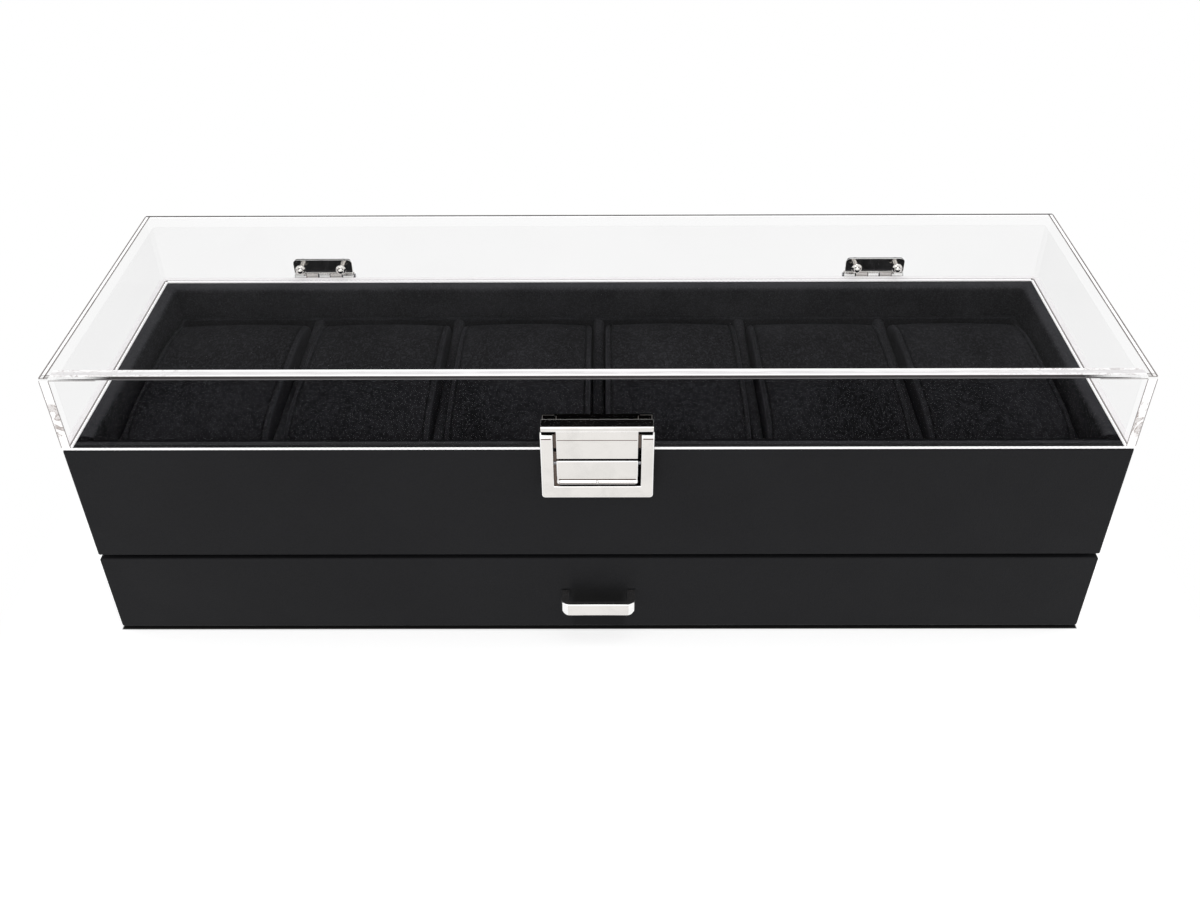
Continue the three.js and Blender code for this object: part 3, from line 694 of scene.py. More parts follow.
@dataclass(frozen=True)
class Bond(Finish):
    """Cement in a joint between clear sheets, with bubbles in one stretch of it."""

    bubbles: float = 230
    squeeze: tuple = (1.0, 1.0, 1.0)
    along: str = "Z"
    stretch: tuple = (0.079, 0.086, 0.0945, 0.096)
    shadow: tuple = (160, 150, 146)
    band: tuple = ()
    core: tuple = (222, 220, 221)
    glow: float = 0.4
    fill: float = 0.0

    def inputs(self, graph: Graph) -> dict:
        """White, with grey rings round its bubbles and a greyer core where it has a band.

        The bubbles are where a noise passes a threshold; their rims take the shadow's colour.
        They show only along the stretch, where they fade in and out.
        """
        place = graph.xyz(graph.place())
        line = graph.size(place[self.along])
        start, full, wane, end = self.stretch
        inside = graph.times(graph.span(line, start, full),
                             graph.span(line, wane, end, 1, 0))
        patch = graph.noise(graph.place(self.squeeze), self.bubbles, roughness=0.6, distortion=1.2)
        rim = graph.size(graph.maths("SUBTRACT", patch, 0.56))
        ring = graph.maths("MAXIMUM", graph.span(rim, 0.0, 0.06, 1.0, 0.0),
                           graph.span(patch, 0.54, 0.6, 0.0, self.fill))
        shade = graph.blend(graph.times(inside, ring), srgb(254, 253, 253), srgb(*self.shadow))
        if self.band:
            where = graph.span(place["Y"], *self.band)
            middle = graph.maths("SUBTRACT", 1.0, graph.size(graph.maths(
                "MULTIPLY_ADD", where, 2.0, -1.0)))
            streak = graph.noise(graph.place((0.1, 1.0, 1.0)), 900.0, detail=2)
            core = graph.times(graph.span(middle, 0.25, 0.5),
                               graph.span(streak, 0.3, 0.6, 0.5, 1.0))
            shade = graph.blend(core, shade, srgb(*self.core))
        # painted glow: the cement glows a little, for the light that the sheets carry to it
        return {"Base_Color": shade, "Emission_Color": shade, "Emission_Strength": self.glow,
                "Roughness": 0.3, "Specular_IOR_Level": 0.1,
                "Normal": graph.bump(patch, 0.2, 0.1)}


@dataclass(frozen=True)
class EdgeLine(Finish):
    """Thin painted line of shade or light that an edge or a fold shows, the light ones with a
    painted glow.
    """

    tone: tuple
    light: tuple
    fade: tuple = ()
    cover: float = 1.0
    glow: float = 0.0

    def inputs(self, graph: Graph) -> dict:
        """Its tone, uneven along the edge, which may thin out towards the lid's ends."""
        where = graph.place()
        uneven = graph.noise(where, 60.0, roughness=0.6)
        cover = graph.span(uneven, 0.35, 0.65, self.cover, 0.85 * self.cover)
        if self.fade:
            line = graph.size(graph.xyz(where)["X"])
            cover = graph.times(cover, graph.span(line, *self.fade, 1, 0))
        shade = graph.blend(uneven, srgb(*self.tone), srgb(*self.light))
        # painted glow of the light lines
        return {"Base_Color": shade, "Emission_Color": shade, "Emission_Strength": self.glow,
                "Alpha": cover, "Roughness": 0.4, "Specular_IOR_Level": 0.1}


class Look(Enum):
    """Every finish on the case."""

    WRAP = Leatherette("smooth_leatherette", "leatherette")
    # The drawer's face carries a painted shadow under its pull.
    DRAWER_WRAP = Leatherette("drawer_wrap", "leatherette", shade=0.94)
    # The lining carries a painted highlight on its rim's top and a painted shade along its front
    # rim.
    LINING = Suede("lining_suede", "suede", (21, 21, 23), (62, 62, 65), 1000, 0.2,
                   painted_top_light=(0.0769, 0.0781), painted_shade=(-0.0494, -0.0488, -0.0465))
    INSERT = Suede("insert_suede", "suede", (15, 15, 17), (46, 46, 49), 800, 0.2)
    DIVIDER = Suede("divider_suede", "suede", (22, 22, 24), (54, 54, 57), 900, 0.2)
    # The pillows carry painted light at their welts and ends.
    PILLOW = Suede("napped_pillow_cloth", "pillow_suede", pitch=0.02625)
    FELT = Suede("base_felt", "felt", (12, 12, 14), (44, 44, 48), 480, 0.7, sheen=0.05)
    THREAD = Suede("sewing_thread", "pillow_suede", (14, 14, 16), (46, 46, 50), 2400, 0.2)
    PAD = Suede("black_pad", "felt", (4, 4, 4), (18, 18, 18), 900, 0.2, sheen=0.0)
    BOARD = Board("paper_wrapped_board", "black_board")
    CHROME = Metal("bright_chrome", "chrome")
    # A brighter copy of the chrome on slanted faces, a painted highlight along edges.
    HIGHLIGHT_CHROME = Metal("chrome_edge_highlight", "chrome", tint=(1.0, 0.995, 0.985), haze=0.02)
    STEEL = Metal("drawn_steel", "spring_steel", srgb(128, 128, 131)[:3], gloss=0.24, haze=0.12)
    ACRYLIC = Acrylic("clear_acrylic", "acrylic")
    # The top sheet's veil is lighter and thicker than the walls', a painted reflection.
    TOP_ACRYLIC = Acrylic("clear_acrylic_top", "acrylic", haze=0.0165, veil=(118, 118, 119))
    CUT_EDGE = CutEdge("saw_cut_edge", "acrylic")
    CORNER_BOND = Bond("corner_bond", "acrylic", fill=0.45)
    FRONT_BOND = Bond("front_bond", "acrylic", bubbles=420, squeeze=(0.8, 1.0, 1.0), along="X",
                      stretch=(0.1, 0.145, 0.16, 0.164), shadow=(206, 202, 202),
                      band=(-0.0519, -0.0481), glow=0.2)
    # Lines along the lid's edges: painted shade in the dark ones, painted light in the white and
    # glowing ones.
    TOP_LINE = EdgeLine("top_edge_line", "acrylic", (74, 70, 71), (104, 99, 99))
    SIDE_LINE = EdgeLine("side_edge_line", "acrylic", (126, 119, 117), (170, 162, 160), cover=0.8)
    FAINT_LINE = EdgeLine("faint_edge_line", "acrylic", (172, 165, 164), (200, 194, 193),
                          cover=0.7)
    SHADE_LINE = EdgeLine("front_shade_line", "acrylic", (58, 55, 56), (78, 74, 75),
                          fade=(0.14, 0.153))
    GLEAM_LINE = EdgeLine("front_gleam_line", "acrylic", (96, 94, 96), (134, 132, 133),
                          fade=(0.15, 0.162))
    WHITE_LINE = EdgeLine("white_edge_line", "acrylic", (250, 250, 250), (254, 254, 254),
                          glow=0.3)
    PANEL_LINE = EdgeLine("sheet_foot", "acrylic", (236, 234, 235), (242, 240, 241), glow=0.3)
    GHOST = EdgeLine("tape_edge_line", "acrylic", (70, 66, 64), (190, 184, 180), cover=0.8)
    # Painted shade lines on the latch's chrome.
    FOLD_SHADE = EdgeLine("chrome_fold_line", "chrome", (80, 58, 50), (112, 86, 76))
    # Painted light with a glow, seen in the latch's gaps.
    GAP_LINE = EdgeLine("latch_gap_line", "chrome", (88, 78, 72), (116, 104, 97), glow=0.6)


def show(name: str, data: bpy.types.ID) -> bpy.types.Object:
    """Adds an object to the scene."""
    made = bpy.data.objects.new(name, data)
    bpy.context.scene.collection.objects.link(made)
    return made


def soften(made: bpy.types.Object, width: float, spans: int, angle: float,
           material: int = -1) -> None:
    """Adds a Bevel modifier on the edges sharper than an angle, with its own material's slot."""
    rounding = made.modifiers.new("Edges", "BEVEL")
    rounding.width, rounding.segments, rounding.material = width * MM, spans, material
    rounding.limit_method, rounding.angle_limit = "ANGLE", angle


def flatten(made: bpy.types.Object) -> None:
    """Adds a modifier by which large flat faces keep their own normals."""
    made.modifiers.new("Flat faces", "WEIGHTED_NORMAL").keep_sharp = True


def piece(name: str, shape: Shape, look: Look, body: str, nodes: tuple[str, ...] = (),
          bevel: float = 0, smooth: float = SMOOTH_ANGLE, weighted: bool = True,
          trim: Look | None = None, level: bool = False) -> bpy.types.Object:
    """Makes a shape into a finished piece that rides on its body.

    Args:
        name: the piece's name.
        shape: its surfaces in millimetres.
        look: its finish.
        body: the CAD body that it moves with.
        nodes: CAD nodes that it stands for.
        bevel: width of a Bevel modifier on its sharp edges, or zero for none.
        smooth: steepest angle that still shades smooth.
        weighted: whether large flat faces keep their own normals.
        trim: finish of the slanting faces, those that look along none of the axes.
        level: whether the trim is on the faces that look up or down instead.

    Returns:
        The object.
    """
    mesh = shape.mesh(name)
    mesh.shade_smooth()
    mesh.set_sharp_from_angle(angle=smooth)
    mesh.materials.append(look.value.material())
    if trim:
        mesh.materials.append(trim.value.material())
        normals = np.empty(len(mesh.polygons) * 3, np.float32)
        mesh.polygons.foreach_get("normal", normals)
        size = np.abs(normals.reshape(-1, 3))
        chosen = size[:, 2] > 0.9 if level else size.max(axis=1) < 0.985
        mesh.polygons.foreach_set("material_index", chosen.astype(np.int32))
    made = show(name, mesh)
    if bevel:
        soften(made, bevel, 2, SMOOTH_ANGLE)
    if weighted:
        flatten(made)
    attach(made, body)
    if nodes:
        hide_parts(*nodes)
    log.info("%s: %d faces on %s", name, len(mesh.polygons), body)
    return made


def boxed(name: str, node: str, look: Look, body: str, axis: Axis = Axis.Z, corner=SEAM,
          rounds: tuple = (SEAM, SEAM), sunk: float = 0.0) -> bpy.types.Object:
    """Makes a piece that fills its node's box, its corners and edges rounded.

    Args:
        name: the piece's name.
        node: the CAD node that it stands for.
        look: its finish.
        body: the CAD body that it moves with.
        axis: axis along which its outline is carried.
        corner: radius of the outline's corners, or one for each.
        rounds: radii along the first and the last face.
        sunk: how far its top stays under the node's.

    Returns:
        The object.
    """
    low, high = node_box(node)
    shape = Shape().loft(block(low, high - (0, 0, sunk), axis, corner, rounds))
    return piece(name, shape, look, body, (node,))


def dress(names: tuple[str, ...], look: Look) -> None:
    """Gives CAD nodes that stay a finish."""
    for name in names:
        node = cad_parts[name]
        if not node.material_slots:
            node.data.materials.append(None)
        for place in node.material_slots:
            place.material = look.value.material()
        log.info("%s keeps its CAD form in %s", name, look.value.name)


# Sub-assemblies


@dataclass
class CaseBody:
    """The wrapped boards, the decks between them and the felt that the case stands on."""

    wall: float = 6.0
    corner: float = 0.7
    least_corner: float = 0.3
    rim_round: float = 1.2
    rebate: float = 2.8
    rebate_depth: float = 1.35
    felt_round: float = 0.4
    bevel: float = 0.35
    corner_spans: int = 5
    body: str = "case"

    def wrap(self) -> bpy.types.Object:
        """One skin round all four walls, open at the front where the drawer slides in.

        The section of the wall is carried round a rounded rectangle. Its lower edge is the height
        of the side boards, raised to the foot of the front board between the two front marks, and
        each mark holds two columns in one place, between which the lower edge steps.
        """
        low, high = node_box("back_board")
        front, left = node_box("front_board")[0], node_box("left_side")[0]
        bottom, top, foot = low[2], high[2], front[2]
        ledge = top - self.rebate_depth
        profile = np.concatenate([
            [(0, bottom), (0, foot)],
            arc((self.rim_round, top - self.rim_round), self.rim_round, 180, 90, 4),
            [(self.rebate, top), (self.rebate, ledge), (self.wall, ledge), (self.wall, foot),
             (self.wall, bottom)],
        ])
        rings = []
        for shrink, height in profile:
            plan, raised = self.plan((left[0] + shrink, front[1] + shrink),
                                     (-left[0] - shrink, high[1] - shrink), shrink, left[1])
            rings.append(Axis.Z.place(plan, np.where(raised, max(height, foot), height)))
        return piece("case_wrap", Shape().hoop(np.stack(rings)), Look.WRAP, self.body,
                     ("front_board", "back_board", "left_side", "right_side"), bevel=self.bevel)

    def plan(self, low: tuple, high: tuple, shrink: float,
             mark: float) -> tuple[np.ndarray, np.ndarray]:
        """One row of the walls seen from above.

        Args:
            low: lowest x and y of the row.
            high: highest x and y of the row.
            shrink: its distance in from the outer face.
            mark: place of the marks along Y.

        Returns:
            The row's points, and which of them lie over the drawer's front.
        """
        radius = max(self.corner - shrink, self.least_corner)
        ring = rounded_rectangle(low, high, radius, self.corner_spans)
        half = len(ring) // 2
        points = np.concatenate([ring[:half], [(high[0], mark)] * 2, ring[half:],
                                 [(low[0], mark)] * 2])
        over = np.zeros(len(points), bool)
        over[: half + 1] = over[-1] = True
        return points, over

    def build(self) -> list[bpy.types.Object]:
        """Makes the case's outside."""
        dress(("base_board", "tray_shelf"), Look.BOARD)
        return [self.wrap(), boxed("felt_base", "base_felt", Look.FELT, self.body,
                                   corner=self.corner, rounds=(self.felt_round,) * 2)]


@dataclass
class Tray:
    """The suede inside: a lining that rolls over the rim, a low insert and its dividers."""

    rim_start: float = 2.95
    rim_round: float = 2.0
    rim_soft: float = 0.35
    front_slim: float = 1.6
    roll_thick: float = 1.2
    lining_thick: float = 1.0
    lining_gap: float = 0.2
    corner: float = 1.5
    least_corner: float = 0.6
    insert_thick: float = 1.9
    insert_round: float = 0.8
    divider_round: float = 1.7
    divider_edge: float = 0.2
    pad_corner: float = 1.0
    pad_round: float = 0.5
    body: str = "case"

    def walls(self, name: str, node: str, look: Look, low, high, corner: float,
              profile: np.ndarray, slim: slice = slice(0)) -> bpy.types.Object:
        """Makes a piece that runs round the tray.

        Args:
            name: the piece's name.
            node: the CAD node that it stands for.
            look: its finish.
            low: lowest x and y of its outer face.
            high: highest x and y of its outer face.
            corner: radius of its outer corners.
            profile: its section, rows of (inset, height).
            slim: rows that stand nearer to the outer face along the front.

        Returns:
            The object.
        """
        radii = np.maximum(corner - profile[:, 0], self.least_corner)
        rings = wall_rings(low, high, radii, profile)
        rings[slim, :, 1] -= self.front_slim * (rings[slim, :, 1] < 0)
        return piece(name, Shape().hoop(rings), look, self.body, (node,))

    def lining(self) -> bpy.types.Object:
        """Lining of the four walls, rolled out over their top.

        Its section goes up the wall's inside, round a quarter circle at the rim and out to the
        rebate in the wall, then back along its underside. It is slimmer along the front.
        """
        low = node_box("tray_lining")[0]
        back_low, back_high = node_box("back_board")
        front = node_box("front_board")[0]
        wall = low[1] - front[1]
        inner, outer = wall + self.lining_thick, wall + self.lining_gap
        foot, top = low[2], back_high[2]
        under = top - self.roll_thick
        centre = (inner - self.rim_round, top - self.rim_round)
        profile = np.concatenate([
            [(self.rim_start, under), (self.rim_start, top - self.rim_soft),
             (self.rim_start + self.rim_soft, top)], arc(centre, self.rim_round, 90, 0, 6),
            [(inner, (top + foot) / 2), (inner, foot), (outer, foot), (outer, under)],
        ])
        return self.walls("suede_lining", "tray_lining", Look.LINING, (back_low[0], front[1]),
                          back_high[:2], self.corner, profile, slice(3, -1))

    def insert(self) -> bpy.types.Object:
        """The insert's low wall, seen as a ledge round the tray."""
        low, high = node_box("insert_frame")
        outside = edge_rounds(low[2], high[2], SEAM, self.insert_round)
        inside = (self.insert_thick, 0) + outside[::-1] * (-1, 1)
        return self.walls("insert_ledge", "insert_frame", Look.INSERT, low[:2], high[:2],
                          self.corner / 2, np.concatenate([outside, inside]))

    def build(self) -> list[bpy.types.Object]:
        """Makes the tray's suede; the dividers' top edge is round where it folds over."""
        corners = (SEAM, SEAM, self.divider_round, self.divider_round)
        dividers = [boxed(f"suede_divider_{index}", f"divider_{index}", Look.DIVIDER, self.body,
                          Axis.Y, corners, (self.divider_edge,) * 2) for index in range(1, 6)]
        return [*dividers, self.lining(), self.insert(),
                boxed("suede_floor", "tray_floor_pad", Look.INSERT, self.body,
                      corner=self.pad_corner, rounds=(SEAM, self.pad_round))]


@dataclass
class Pillow:
    """One suede pillow: a wrapped roll whose hems stand between a seam and a drawn-in end."""

    number: int
    hem: float = 1.9
    groove: float = 0.95
    groove_width: float = 0.24
    crown: float = 0.55
    swell: float = 0.8
    proud: float = 0.4
    pucker: float = 0.12
    stitch_pitch: float = 2.6
    stitch_radius: float = 0.2
    squareness: float = 3.4
    draw: float = 1.2
    roll: float = 1.15
    around: int = 132
    sim_around: int = 40
    sim_frames: int = 20
    seam_row: int = 12
    low: np.ndarray = field(init=False)
    high: np.ndarray = field(init=False)
    centre: np.ndarray = field(init=False)

    def __post_init__(self) -> None:
        """Takes the pillow's room from its CAD node."""
        self.low, self.high = node_box(f"pillow_{self.number}")
        self.centre = (self.low + self.high) / 2

    def section(self) -> np.ndarray:
        """Rows from the middle to one end, as (distance along X, inset, share of the ring).

        The crown sinks with the square of the distance, the seam is a narrow bell below it, the
        hem is half of a wave, and the end turns over a quarter circle and draws in to its middle.
        """
        half = (self.high[0] - self.low[0]) / 2
        seam, turn_start = half - self.hem, half - self.roll
        main = np.array([0, 0.12, 0.25, 0.38, 0.5, 0.62, 0.73, 0.82, 0.9, 0.955])
        near = np.array([-0.5, -0.2, 0.0, 0.2, 0.42])
        hem = np.array([0.35, 0.7])
        turn = np.linspace(0, HALF_TURN / 2, 6)
        sunk = np.array([0.12, 0.5, 0.75, 0.6, 0.45])
        parts = (
            (seam * main, self.crown * main ** 2, 1),
            (seam + near, self.crown + self.groove * np.exp(-(near / self.groove_width) ** 2), 1),
            (seam + near[-1] + hem * (turn_start - seam - near[-1]),
             self.crown - 0.1 * np.sin(HALF_TURN * hem), 1),
            (turn_start + self.roll * np.sin(turn),
             self.crown + self.roll * (1 - np.cos(turn)), 1),
            (half - sunk, self.crown + self.roll, np.array([0.94, 0.88, 0.84, 0.5, 0.15])),
        )
        return np.concatenate([np.stack(np.broadcast_arrays(*part), 1) for part in parts])

    def skin(self, columns: int, rows: np.ndarray) -> np.ndarray:
        """Points of the roll.

        A row is a superellipse in YZ, its half sizes less the row's inset and times its share of
        the ring, at the row's distance to either side of the middle.
        """
        both = np.concatenate([rows[:0:-1] * (-1, 1, 1), rows])
        angle = np.arange(columns) * 2 * HALF_TURN / columns
        circle = np.stack([np.cos(angle), np.sin(angle)], 1)
        squared = np.sign(circle) * np.abs(circle) ** (2 / self.squareness)
        size = (self.high - self.low)[1:] / 2
        span = (size - (self.draw, 0.0) - both[:, 1, None]) * both[:, 2, None]
        points = np.empty((len(both), columns, 3))
        points[..., 0] = self.centre[0] + both[:, 0, None]
        points[..., 1:] = self.centre[1:] + span[:, None, :] * squared[None]
        return points

    def swollen(self, rows: np.ndarray) -> np.ndarray:
        """Bulge of the skin between its seams, by a cloth simulation on a coarse copy.

        The copy's seam rows are pinned and air presses from inside. The way that each point
        moved, held to the swell at most, is read off the coarse grid for every point of the fine
        one by its row and its place round the ring.
        """
        picks = np.array([0, 2, 4, 6, 8, 10, 12, 14, 16, 19, 22, 24, 26])
        coarse = self.skin(self.sim_around, rows[picks])
        away = np.abs(coarse[:, 0, 0] - self.centre[0])
        moved = self.press(coarse, np.abs(away - rows[self.seam_row, 0]) < 0.05) - coarse
        moved *= self.swell / max(self.swell, np.linalg.norm(moved, axis=-1).max())
        where = np.arange(self.around) / self.around * self.sim_around
        left = where.astype(int)
        share = (where - left)[None, :, None]
        wrapped = np.concatenate([moved, moved[:, :1]], axis=1)
        ringwise = wrapped[:, left] * (1 - share) + wrapped[:, left + 1] * share
        fine = np.arange(1 - len(rows), len(rows))
        known = np.concatenate([-picks[:0:-1], picks])
        above = np.clip(np.searchsorted(known, fine, side="right"), 1, len(known) - 1)
        part = (fine - known[above - 1]) / (known[above] - known[above - 1])
        part = np.clip(part, 0, 1)[:, None, None]
        return ringwise[above - 1] * (1 - part) + ringwise[above] * part

    def press(self, coarse: np.ndarray, seam: np.ndarray) -> np.ndarray:
        """Runs the cloth simulation.

        Args:
            coarse: the coarse grid's points in millimetres.
            seam: which of its rows are pinned.

        Returns:
            The grid's points after the last frame.
        """
        scene = bpy.context.scene
        mesh = Shape().bag(coarse).raw("press")
        cloth = show("press", mesh)
        rows, columns = coarse.shape[:2]
        held = np.flatnonzero(np.repeat(seam, columns)).tolist()
        cloth.vertex_groups.new(name="pins").add(held, 1.0, "REPLACE")
        settings = cloth.modifiers.new("Press", "CLOTH").settings
        settings.vertex_group_mass = "pins"
        settings.quality = 6
        settings.mass = 0.002
        settings.use_pressure = True
        settings.uniform_pressure_force = 4.0
        settings.effector_weights.gravity = 0.0
        for number in range(1, self.sim_frames + 1):
            scene.frame_set(number)
        shown = cloth.evaluated_get(bpy.context.evaluated_depsgraph_get()).to_mesh()
        places = np.empty(len(mesh.vertices) * 3, np.float32)
        shown.vertices.foreach_get("co", places)
        bpy.data.objects.remove(cloth)
        bpy.data.meshes.remove(mesh)
        scene.frame_set(1)
        return places.reshape(-1, 3)[: rows * columns].reshape(coarse.shape).astype(float) / MM

    def puckers(self, points: np.ndarray) -> np.ndarray:
        """Small gathers beside the seams and slow unevenness of the foam.

        The gathers are a cosine of the distance round the ring that fades with the distance from
        the seam. The unevenness is the mean of sines of random direction and phase.
        """
        reach, foam, sines, calm, steep, phase = 1.1, 0.3, 5, 0.25, 0.09, 6
        rng = np.random.default_rng(40 + self.number)
        along = points[..., 0] - self.centre[0]
        seam = (self.high[0] - self.low[0]) / 2 - self.hem
        ring = np.roll(points, -1, axis=1) - points
        travelled = np.cumsum(np.linalg.norm(ring, axis=-1), axis=1)
        near = np.exp(-np.abs(np.abs(along) - seam) / reach)
        waves = np.cos(travelled * HALF_TURN / self.stitch_pitch + rng.uniform(0, phase))
        slow = np.zeros_like(along)
        for _ in range(sines):
            push = rng.normal(0, steep, 3)
            slow += np.sin(points @ push + rng.uniform(0, phase)) / sines
        across = (points - self.centre) * (0, 1, 1)
        outward = across / np.maximum(np.linalg.norm(across, axis=-1, keepdims=True), 1e-6)
        firm = np.clip(self.high[2] - points[..., 2], 0, 1)
        height = self.pucker * near * waves + foam * slow - calm
        return outward * (height * (0.4 + 0.6 * firm))[..., None]

    def stitches(self, line: np.ndarray) -> np.ndarray:
        """Rings of the threads that lie along a seam's line.

        Each thread is a small capsule, three fifths of a pitch long: its rings' radius is the
        square root of one less the square of the place along it.
        """
        least, rise, sides = 0.06, 0.28, 6
        step = np.linalg.norm(np.roll(line, -1, axis=0) - line, axis=1)
        place = np.concatenate([[0], np.cumsum(step)])
        count = int(place[-1] / self.stitch_pitch)
        closed = np.concatenate([line, line[:1]])
        along = np.linspace(-1, 1, 5)
        want = (np.arange(count) * place[-1] / count)[:, None] + along * 0.3 * self.stitch_pitch
        spots = np.stack([np.interp(want.ravel() % place[-1], place, closed[:, part])
                          for part in range(3)], -1).reshape(count, 5, 3)
        ahead = spots[:, -1] - spots[:, 0]
        ahead /= np.linalg.norm(ahead, axis=1, keepdims=True)
        side = np.array([1.0, 0.0, 0.0])
        lift = np.cross(ahead, side)
        lift *= np.sign(((spots[:, 2] - self.centre) * lift).sum(1))[:, None]
        radius = self.stitch_radius * np.sqrt(np.maximum(1 - along ** 2, least))
        angle = (np.arange(sides) * 2 * HALF_TURN / sides)[None, None, :, None]
        around = np.cos(angle) * side + np.sin(angle) * lift[:, None, None, :]
        core = spots + lift[:, None] * (rise * (1 - along ** 2))[None, :, None]
        return core[:, :, None] + radius[None, :, None, None] * around

    def build(self) -> list[bpy.types.Object]:
        """Makes the pillow and its sewing."""
        rows = self.section()
        points = self.skin(self.around, rows)
        points = points + self.swollen(rows)
        points = points + self.puckers(points)
        points[..., 2] = np.minimum(points[..., 2], self.high[2] + self.proud)
        body = f"cushion_{self.number}"
        roll = piece(f"suede_pillow_{self.number}", Shape().bag(points), Look.PILLOW, body,
                     (f"pillow_{self.number}",), smooth=math.radians(80), weighted=False)
        sewing = Shape()
        for side in SIDES:
            for thread in self.stitches(points[len(rows) - 1 + side * self.seam_row]):
                sewing.loft(thread)
        return [roll, piece(f"pillow_sewing_{self.number}", sewing, Look.THREAD, body)]


@dataclass
class Lid:
    """The clear lid: one bonded shell, its saw-cut rims, the cement and the painted light and shade
    of its edges.
    """

    sheet: float = 3.0
    edge: float = 0.25
    foot_edge: float = 0.1
    rim_tall: float = 0.3
    rim_under: float = 0.22
    drop: float = 0.52
    strip: float = 0.12
    buried: float = 0.05
    band: tuple = (1.35, 4.85)
    latch_half: float = 17.4
    body: str = "lid"
    low: np.ndarray = field(init=False)
    high: np.ndarray = field(init=False)

    def __post_init__(self) -> None:
        """Takes the lid's outer corners from the CAD."""
        self.low, self.high = node_box("lid_top")
        self.low[2] = node_box("lid_front")[0][2]

    def shell(self) -> bpy.types.Object:
        """Five sheets as one clear body.

        Its rows go up the inside of the walls to the underside of the top, and up their outside
        round a small quarter circle to the top, each row a rectangle.
        """
        inner, least, edge, sheet = 0.3, 0.2, self.foot_edge, self.sheet
        foot, top = self.low[2], self.high[2]
        profile = np.concatenate([
            [(sheet, top - sheet), (sheet, foot + edge), (sheet - edge, foot), (edge, foot),
             (0, foot + edge)], arc((self.edge, top - self.edge), self.edge, 180, 90, 3)])
        shrink = profile[:, 0]
        radii = np.where(shrink > 1, inner, np.maximum(0.6 - shrink, least))
        rings = wall_rings(self.low[:2], self.high[:2], radii, profile, 3)
        return piece("lid_shell", Shape().loft(rings), Look.ACRYLIC, self.body,
                     ("lid_top", "lid_front", "lid_back", "lid_left", "lid_right"),
                     smooth=math.radians(1), weighted=False, trim=Look.TOP_ACRYLIC, level=True)

    def strips(self, name: str, look: Look, *rows: tuple) -> bpy.types.Object:
        """Makes strips of one finish as one piece.

        Args:
            name: the piece's name.
            look: its finish.
            rows: for each kind of strip, its distances in from the lid's side, or one distance
                for a strip from side to side; its distances behind the front, or before the rear
                where negative; and its heights.

        Returns:
            The object.
        """
        shape = Shape()
        for inward, deep, tall in rows:
            y = [place + (self.low[1] if place > 0 else self.high[1]) for place in deep]
            for side in SIDES if len(inward) == 2 else (1,):
                x = [side * (self.high[0] - place) for place in inward]
                if len(x) == 1:
                    x.append(-x[0])
                shape.loft(strip(*np.stack([x, y, tall], axis=1)))
        return piece(name, shape, look, self.body, weighted=False)

    def build(self) -> list[bpy.types.Object]:
        """Makes the lid: its shell, its saw-cut rims, the painted lines of light and shade along
        its edges, the cement.

        The strips lie in the front's skin, under the top's surface or on the walls' feet.
        """
        foot, top = self.low[2], self.high[2]
        wide = self.high[0]
        start, end = self.band
        skin = (self.buried, self.buried + self.strip)
        upper = (top - skin[1], top - skin[0])
        lower = (foot - self.rim_under, foot + self.rim_tall)
        wall = (foot + self.rim_tall, top - 0.9)
        inner = self.sheet + 0.2
        return [
            self.shell(),
            self.strips("lid_cut_rims", Look.CUT_EDGE,
                        ((self.buried, wide - self.latch_half), skin,
                         (foot - self.drop, foot + self.rim_tall)),
                        ((inner,), (-inner, -2.3), lower),
                        ((2.55, inner), (skin[1], -inner), lower)),
            self.strips("lid_rear_line", Look.TOP_LINE, ((0.3,), (-0.95, -0.1), upper)),
            self.strips("lid_white_lines", Look.WHITE_LINE, ((2.0,), (-2.0, -1.0), upper),
                        ((0.55, 1.4), (0.6, -0.9), upper)),
            self.strips("lid_side_lines", Look.SIDE_LINE, ((0.05, 0.5), (0.6, -0.8), upper),
                        ((1.45, 1.85), (0.6, -0.8), upper),
                        *(((0.3, 2.9), (place, place + 0.3), upper)
                          for place in (0.25, 1.0, 1.8))),
            self.strips("lid_faint_lines", Look.FAINT_LINE, ((0.05, 0.3), skin, wall),
                        ((2.8, 3.05), skin, wall), ((2.0, 2.5), (0.3, -2.5), lower),
                        ((3.0, 17.0), skin, (top - 0.85, top - 0.6)),
                        ((2.5,), (-2.3, -2.0), lower)),
            self.strips("lid_sheet_feet", Look.PANEL_LINE, ((1.0,), (-1.95, -0.1), lower),
                        ((0.1, 1.95), (0.3, -2.0), lower)),
            self.strips("lid_front_shade", Look.SHADE_LINE,
                        ((self.sheet,), (0.15, start), (upper[0] - SEAM, upper[1] - SEAM))),
            self.strips("lid_front_gleam", Look.GLEAM_LINE,
                        ((self.sheet,), skin, (top - 0.5, top - 0.12))),
            self.strips("lid_front_bond", Look.FRONT_BOND, ((self.sheet,), (start, end), upper)),
            self.strips("lid_corner_bonds", Look.CORNER_BOND,
                        ((0.35, self.sheet - 0.25), skin, wall)),
        ]


